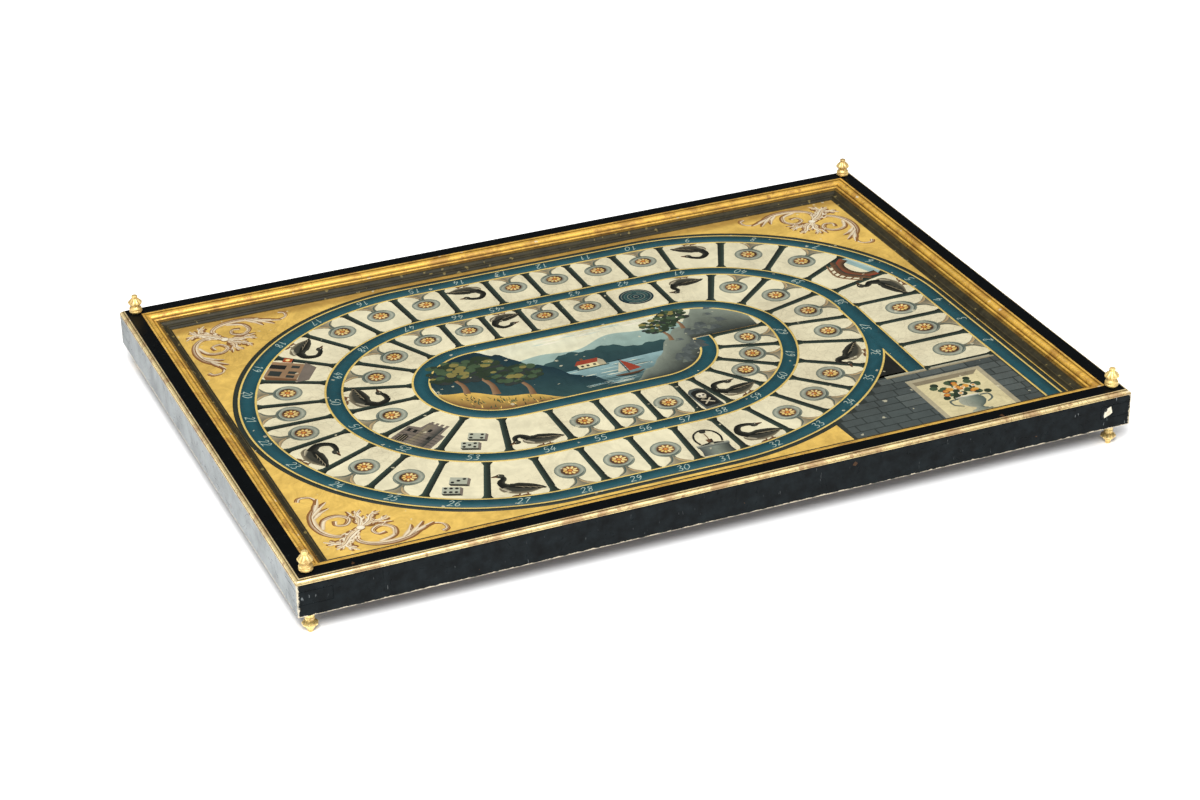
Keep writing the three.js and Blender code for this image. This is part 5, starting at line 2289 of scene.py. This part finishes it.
@dataclass
class MouldingSet:
    """The gilt mouldings and the green sight coves, swept along each side with mitred ends."""

    station: float = 5.0
    unevenness: float = 0.16
    ripple: Spot = (9.0, 3.0, 17.0)
    mitre_gap: float = 0.08
    curve_steps: int = 9
    bead_steps: int = 5
    weld: float = 1e-7
    sharp_angle: float = 38.0

    def sections(self) -> list[MouldingSection]:
        """The three sections, from outside to inside.

        Returns:
            The outer gilding, the inner gilding and the green cove.
        """
        steps = self.curve_steps
        outer = ((4.1, 4.9, 0.3), (4.1, 0.65, 0.7), (3.9, 0.6, 0.9), (3.3, 0.6, 0.9), (3.1, 0.7, 0.7),
                 (3.1, 1.4, 0.0), *bowed((3.1, 1.4), (0.2, 3.9), -0.2, steps, (0.1, 1.0, 0.4)),
                 *bowed((0.0, 3.9), (0.0, 4.9), -0.26, steps, (0.1, 0.9, 0.1)))
        inner = ((17.1, 7.4, 0.3), (17.1, 0.35, 0.7), (17.5, 0.3, 0.9), (18.6, 0.3, 0.9), (19.0, 0.4, 0.7),
                 (19.0, 1.3, 0.05), *bowed((19.0, 1.3), (25.2, 4.8), 0.22, steps, (0.2, 1.0, 0.2)),
                 (25.2, 5.2, 0.0), *bowed((25.2, 5.2), (28.2, 6.0), 0.4, steps, (0.1, 1.0, 0.1)),
                 (28.2, 6.4, 0.0), (30.5, 6.4, 0.1), (30.5, 7.4, 0.0))
        sight = ((30.6, 12.4, 0.2), (30.6, 6.4, 0.2), (31.5, 6.4, 0.6),
                 *bowed((31.5, 6.4), (35.7, 9.4), -0.14, steps, (0.62, 0.58, 0.4)),
                 *bowed((35.7, 9.4), (36.9, 9.4), 0.35, self.bead_steps, (0.55, 0.68, 0.55)),
                 *bowed((36.9, 9.4), (38.9, 11.9), -0.14, steps, (0.4, 0.1, 0.4)),
                 (39.5, 11.9, 0.8), (39.5, 12.4, 0.5))
        return [MouldingSection("outer_gilding", "outer_moulding", "gilding", EDGE_GILT, outer),
                MouldingSection("inner_gilding", "inner_moulding", "gilding", GILT, inner),
                MouldingSection("green_cove", "sight_cove", "dark_green_paint", GREEN, sight)]

    def build(self) -> None:
        """Sweep each section along each side."""
        for section in self.sections():
            for number, side in enumerate(SIDES):
                piece = self.swept(section, side, number)
                record_piece(piece, section.slot, f"{side}_{section.node}")

    def swept(self, section: MouldingSection, side: str, number: int) -> Piece:
        """Sweep one section along one side.

        Args:
            section: the section.
            side: the side's name.
            number: the quarter turns from the front to the side.

        Returns:
            The moulding.
        """
        run, reach = (HALF_LENGTH, HALF_DEPTH) if number % 2 == 0 else (HALF_DEPTH, HALF_LENGTH)
        turn = Matrix.Rotation(number * math.pi / 2, 3, "Z")
        wave_long, wave_wide, apart = self.ripple
        mesh = bmesh.new()
        crests = mesh.verts.layers.float.new("crest")
        count = round(2 * run / self.station)
        rows = []
        for step in range(count + 1):
            share = 2 * step / count - 1
            row = []
            for inset, drop, crest in section.outline:
                along = share * (run - inset - self.mitre_gap)
                rough = noise.noise(Vector((along / wave_long, inset / wave_wide, apart * number + drop)))
                sunk = self.unevenness * crest * max(0.5 + 0.5 * rough, 0.0) if 0 < step < count else 0.0
                vert = mesh.verts.new(MM * (turn @ Vector((along, inset - reach, RAIL_TOP - drop - sunk))))
                vert[crests] = crest
                row.append(vert)
            rows.append(row)
        size = len(section.outline)
        for first, second in zip(rows, rows[1:]):
            for place in range(size):
                after = (place + 1) % size
                mesh.faces.new((first[place], first[after], second[after], second[place]))
        mesh.faces.new(rows[0])
        mesh.faces.new(rows[-1])
        bmesh.ops.remove_doubles(mesh, verts=mesh.verts, dist=self.weld)
        bmesh.ops.recalc_face_normals(mesh, faces=mesh.faces)
        for face in mesh.faces:
            face.smooth = True
        sharpest = math.radians(self.sharp_angle)
        for edge in mesh.edges:
            edge.smooth = len(edge.link_faces) == 2 and edge.calc_face_angle(0.0) < sharpest
        return object_from(f"{side}_{section.name}", mesh, section.finish)


@dataclass
class LacqueredRails:
    """The four rails, with softened arrises and the chip on the front rail."""

    softness: float = 0.55
    longest_plain: float = 9.0
    weld: float = 1e-6
    flat_angle: float = 1.0
    sharp_angle: float = 40.0
    chip: Point = (367.0, RAIL_BOTTOM + 17.0)
    chip_lift: Point = (0.02, 0.3)

    def build(self) -> None:
        """Soften the rails and paint the chip."""
        for side in SIDES:
            record_piece(self.softened(side), "black_lacquer", f"{side}_rail")
        self.gesso_chip()

    def softened(self, side: str) -> Piece:
        """Copy a rail and round its long arrises.

        Args:
            side: the rail's side.

        Returns:
            The softened rail.
        """
        mesh = bmesh.new()
        mesh.from_mesh(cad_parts[f"{side}_rail"].data)
        bmesh.ops.remove_doubles(mesh, verts=mesh.verts, dist=self.weld)
        bmesh.ops.dissolve_limit(
            mesh, angle_limit=math.radians(self.flat_angle), verts=mesh.verts, edges=mesh.edges)
        sharp = [edge for edge in mesh.edges
                 if len(edge.link_faces) == 2 and edge.calc_length() > self.longest_plain * MM
                 and edge.calc_face_angle_signed(0.0) > math.radians(self.sharp_angle)]
        bmesh.ops.bevel(mesh, geom=sharp, offset=self.softness * MM, segments=3, profile=0.5, affect="EDGES",
                        clamp_overlap=True)
        bmesh.ops.triangulate(mesh, faces=[face for face in mesh.faces if len(face.verts) > 4])
        return object_from(f"{side}_lacquered_rail", mesh, LACQUER)

    def on_face(self, point: Vector) -> Vector:
        """Carry a point of paint to the front rail's face."""
        clear, share = self.chip_lift
        return Vector((point.x, -HALF_DEPTH - clear - share * point.z, point.y))

    def gesso_chip(self) -> None:
        """Paint the bare patch with its nail hole near the front rail's right end."""
        brush = Brush(PaintLayer("gesso_chip", 0.0, self.on_face), Place(*self.chip))
        bare = ((-3.4, 1.8), (-0.8, 3.9), (2.8, 5.2), (3.4, 2.4), (4.2, -1.4), (1.6, -3.0), (-1.2, -4.0),
                (-3.8, -5.2), (-4.2, -2.2))
        yellowed = ((-2.6, -2.6), (0.2, -2.8), (2.6, -1.2), (2.0, 1.4), (-0.6, 0.2))
        hole = ((-4.0, 1.2), (-2.2, 0.6), (-0.9, 2.6), (-1.5, 4.2), (-3.6, 3.6))
        brush.patch(bare, Pigment.WHITE, 0.2)
        brush.patch(yellowed, Pigment.GESSO, 0.3)
        brush.patch(hole, Pigment.BLACK, 0.4)
        record_piece(brush.coat.finished(OIL), "black_lacquer")


@dataclass
class CornerTurnings:
    """The gilt finials on the corners and the feet under them."""

    inset: float = 13.0
    lobes: int = 9
    lobe_depth: float = 0.075
    handwork: float = 0.018
    around: int = 96
    finial: tuple[Point, ...] = (
        (4.2, 0.15), (5.6, 0.9), (6.2, 2.1), (6.2, 3.0), (5.6, 3.6), (6.1, 4.3), (5.9, 5.5), (5.0, 6.6),
        (4.2, 7.5), (4.3, 8.1), (5.7, 9.0), (6.85, 10.3), (6.9, 11.2), (6.0, 12.5), (4.6, 13.9), (3.4, 15.0),
        (2.8, 15.7), (2.9, 16.5), (3.0, 17.4), (2.5, 18.2), (1.0, 18.55))
    finial_band: Point = (7.0, 17.2)
    foot: tuple[Point, ...] = (
        (1.2, 0.05), (2.3, 0.5), (2.5, 1.3), (2.4, 1.9), (3.1, 3.0), (4.0, 4.2), (4.8, 5.4), (6.2, 6.6),
        (7.2, 7.6), (7.1, 8.6), (5.8, 9.8), (4.3, 10.7), (3.6, 11.5), (4.1, 12.4), (4.4, 13.4), (3.8, 14.5),
        (4.2, 15.6), (4.4, 22.3))
    foot_band: Point = (1.9, 11.4)

    def build(self) -> None:
        """Turn the eight ornaments."""
        for number, corner in enumerate(CORNERS):
            right = 1 if corner.endswith("right") else -1
            back = 1 if corner.startswith("back") else -1
            x, y = right * (HALF_LENGTH - self.inset), back * (HALF_DEPTH - self.inset)
            for part, profile, base, band in (("finial", self.finial, RAIL_TOP, self.finial_band),
                                              ("foot", self.foot, 0.0, self.foot_band)):
                middle = Vector((x, y, base))
                piece = self.turned(f"{corner}_gilt_{part}", profile, middle, band, number)
                record_piece(piece, "pale_gilding", f"{corner}_{part}")

    def turned(self, name: str, profile: Sequence[Point], middle: Vector, band: Point, number: int) -> Piece:
        """Turn one ornament and cut its lobes.

        Args:
            name: the piece's name.
            profile: its radii and heights from the bottom.
            middle: the middle of its bottom.
            band: the heights between which the lobes are cut.
            number: the corner's number, which varies the handwork.

        Returns:
            The ornament.
        """
        mesh = bmesh.new()
        crests = mesh.verts.layers.float.new("crest")
        rings = []
        for radius, height in flowing(profile, 4):
            share = min(max((height - band[0]) / (band[1] - band[0]), 0.0), 1.0)
            cut = self.lobe_depth * math.sin(math.pi * share)
            ring = []
            for step in range(self.around):
                turn = 2 * math.pi * step / self.around
                ridge = abs(math.cos(self.lobes * turn / 2))
                x, y = math.cos(turn), math.sin(turn)
                rough = noise.noise(Vector((3 * x, 3 * y, height / 3 + 9 * number)))
                reach = radius * (1 - cut * (1 - ridge) * 2 - self.handwork * (1 + rough))
                vert = mesh.verts.new(MM * (middle + Vector((reach * x, reach * y, height))))
                # the crest sets the painted highlight on the ridges of the lobes and the dirt in their
                # hollows
                vert[crests] = min(1.0, 0.4 + 0.55 * ridge + 0.2 * rough) if cut else 0.75 + 0.25 * rough
                ring.append(vert)
            rings.append(ring)
        for low, high in zip(rings, rings[1:]):
            for step in range(self.around):
                after = (step + 1) % self.around
                mesh.faces.new((low[step], low[after], high[after], high[step]))
        mesh.faces.new(list(reversed(rings[0])))
        mesh.faces.new(rings[-1])
        bmesh.ops.recalc_face_normals(mesh, faces=mesh.faces)
        for face in mesh.faces:
            face.smooth = True
        return object_from(name, mesh, PALE_GILT)


@dataclass
class Backing:
    """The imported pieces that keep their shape: the ground, boards, battens, fillets and nails."""

    long_fillets: tuple[str, ...] = ("front_fillet", "back_fillet")

    def finish_for(self, node: str) -> Optional[Finish]:
        """Choose a node's finish.

        Args:
            node: the node's name.

        Returns:
            Its finish, or none where the node is replaced.
        """
        if node == "painted_ground":
            return GROUND
        if "nail" in node:
            return IRON
        if node.endswith("board") or node in self.long_fillets:
            return WOOD_LONG
        if node.endswith(("batten", "fillet")):
            return WOOD_CROSS
        return None

    def build(self) -> None:
        """Dress the nodes."""
        for name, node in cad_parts.items():
            finish = self.finish_for(name)
            if finish is None:
                continue
            node.data.materials.clear()
            node.data.materials.append(finish.material())
            log.info("%s: dressed with %s", name, finish.name)


@dataclass
class Studio:
    """The floor, the light and the camera."""

    floor_half: float = 7.0
    floor_glow: float = 0.05
    floor_lamp_power: float = 85.0
    floor_lamp_place: Spot = (-0.9, -2.0, 2.0)
    floor_lamp_size: Point = (0.9, 0.9)
    lamp_power: float = 56.0
    lamp_place: Spot = (-0.5, -0.9, 2.4)
    lamp_size: Point = (2.0, 1.4)
    wall: float = 0.34
    sky: float = 0.85
    sky_span: Point = (0.42, 0.95)
    lean: float = 0.75
    lean_way: Point = (-0.5, -0.85)
    camera_place: Spot = (-0.9309, -2.2382, 1.221 + RAIL_TOP * MM)
    camera_turn: float = 22.383
    camera_drop: float = 27.742
    camera_roll: float = -1.345
    lens: float = 88.22
    sensor_width: float = 36.0
    nearest: float = 0.05

    def build(self) -> None:
        """Set up the studio."""
        bpy.context.scene.view_settings.view_transform = "Standard"
        self.floor()
        self.light()
        self.camera()

    def floor(self) -> None:
        """Lay a plain pale floor with a lamp of its own."""
        mesh = bmesh.new()
        half = self.floor_half
        corners = ((-half, -half, 0), (half, -half, 0), (half, half, 0), (-half, half, 0))
        mesh.faces.new([mesh.verts.new(corner) for corner in corners])
        floor = object_from("floor", mesh, PaleFloor(glow=self.floor_glow))
        low = self.lamp("floor_lamp", self.floor_lamp_place, self.floor_lamp_power, self.floor_lamp_size)
        lit = bpy.data.collections.new("lit_by_floor_lamp")
        lit.objects.link(floor)
        low.light_linking.receiver_collection = lit

    def light(self) -> None:
        """Hang a wide soft lamp in a white room that is brighter above and in front."""
        world = bpy.data.worlds.new("white_room")
        world.use_nodes = True
        wires = Wiring(world.node_tree)
        room = next(node for node in world.node_tree.nodes if node.type == "BACKGROUND")
        room.inputs["Color"].default_value = (1.0, 1.0, 1.0, 1.0)
        along, across, up = wires.axes(wires.add("ShaderNodeTexCoord").outputs["Generated"])
        ahead = wires.reckon("MULTIPLY_ADD", along, self.lean_way[0], wires.times(across, self.lean_way[1]))
        lean = wires.spread(ahead, -0.5, 0.5, 1.0 - self.lean, 1.0 + self.lean)
        above = wires.spread(up, *self.sky_span, self.wall, self.sky)
        wires.feed(room.inputs["Strength"], wires.times(above, lean))
        bpy.context.scene.world = world
        self.lamp("soft_lamp", self.lamp_place, self.lamp_power, self.lamp_size)

    @staticmethod
    def lamp(name: str, place: Spot, power: float, size: Point) -> Piece:
        """Hang a square-cornered soft lamp that faces the board.

        Args:
            name: its name.
            place: where it hangs.
            power: its power in watts.
            size: its width and height.

        Returns:
            The lamp.
        """
        panel = bpy.data.lights.new(name, "AREA")
        panel.shape = "RECTANGLE"
        panel.size, panel.size_y = size
        panel.energy = power
        holder = linked(name, panel)
        holder.location = place
        holder.rotation_euler = (-Vector(place)).to_track_quat("-Z", "Y").to_euler()
        return holder

    def camera(self) -> None:
        """Set the camera at the photograph's place and angle."""
        angles = (self.camera_turn, self.camera_drop, self.camera_roll)
        turn, drop, roll = (math.radians(angle) for angle in angles)
        ahead = Vector((math.cos(drop) * math.sin(turn), math.cos(drop) * math.cos(turn), -math.sin(drop)))
        level = Vector((math.cos(turn), -math.sin(turn), 0.0))
        upright = level.cross(ahead)
        right = level * math.cos(roll) + upright * math.sin(roll)
        above = upright * math.cos(roll) - level * math.sin(roll)
        data = bpy.data.cameras.new("camera")
        data.lens = self.lens
        data.sensor_width = self.sensor_width
        data.clip_start = self.nearest
        viewer = linked("camera", data)
        basis = Matrix((right, above, -ahead)).transposed().to_4x4()
        viewer.matrix_world = Matrix.Translation(self.camera_place) @ basis
        bpy.context.scene.camera = viewer


def main() -> None:
    """Build and dress every sub-assembly, and log each one."""
    logging.basicConfig(level=logging.INFO, format="%(name)s: %(message)s")
    for assembly in (Studio(), LacqueredRails(), MouldingSet(), CornerTurnings(), Backing(), PaintedPanel()):
        log.info("building %s", type(assembly).__name__)
        assembly.build()


if __name__ == "__main__":
    main()
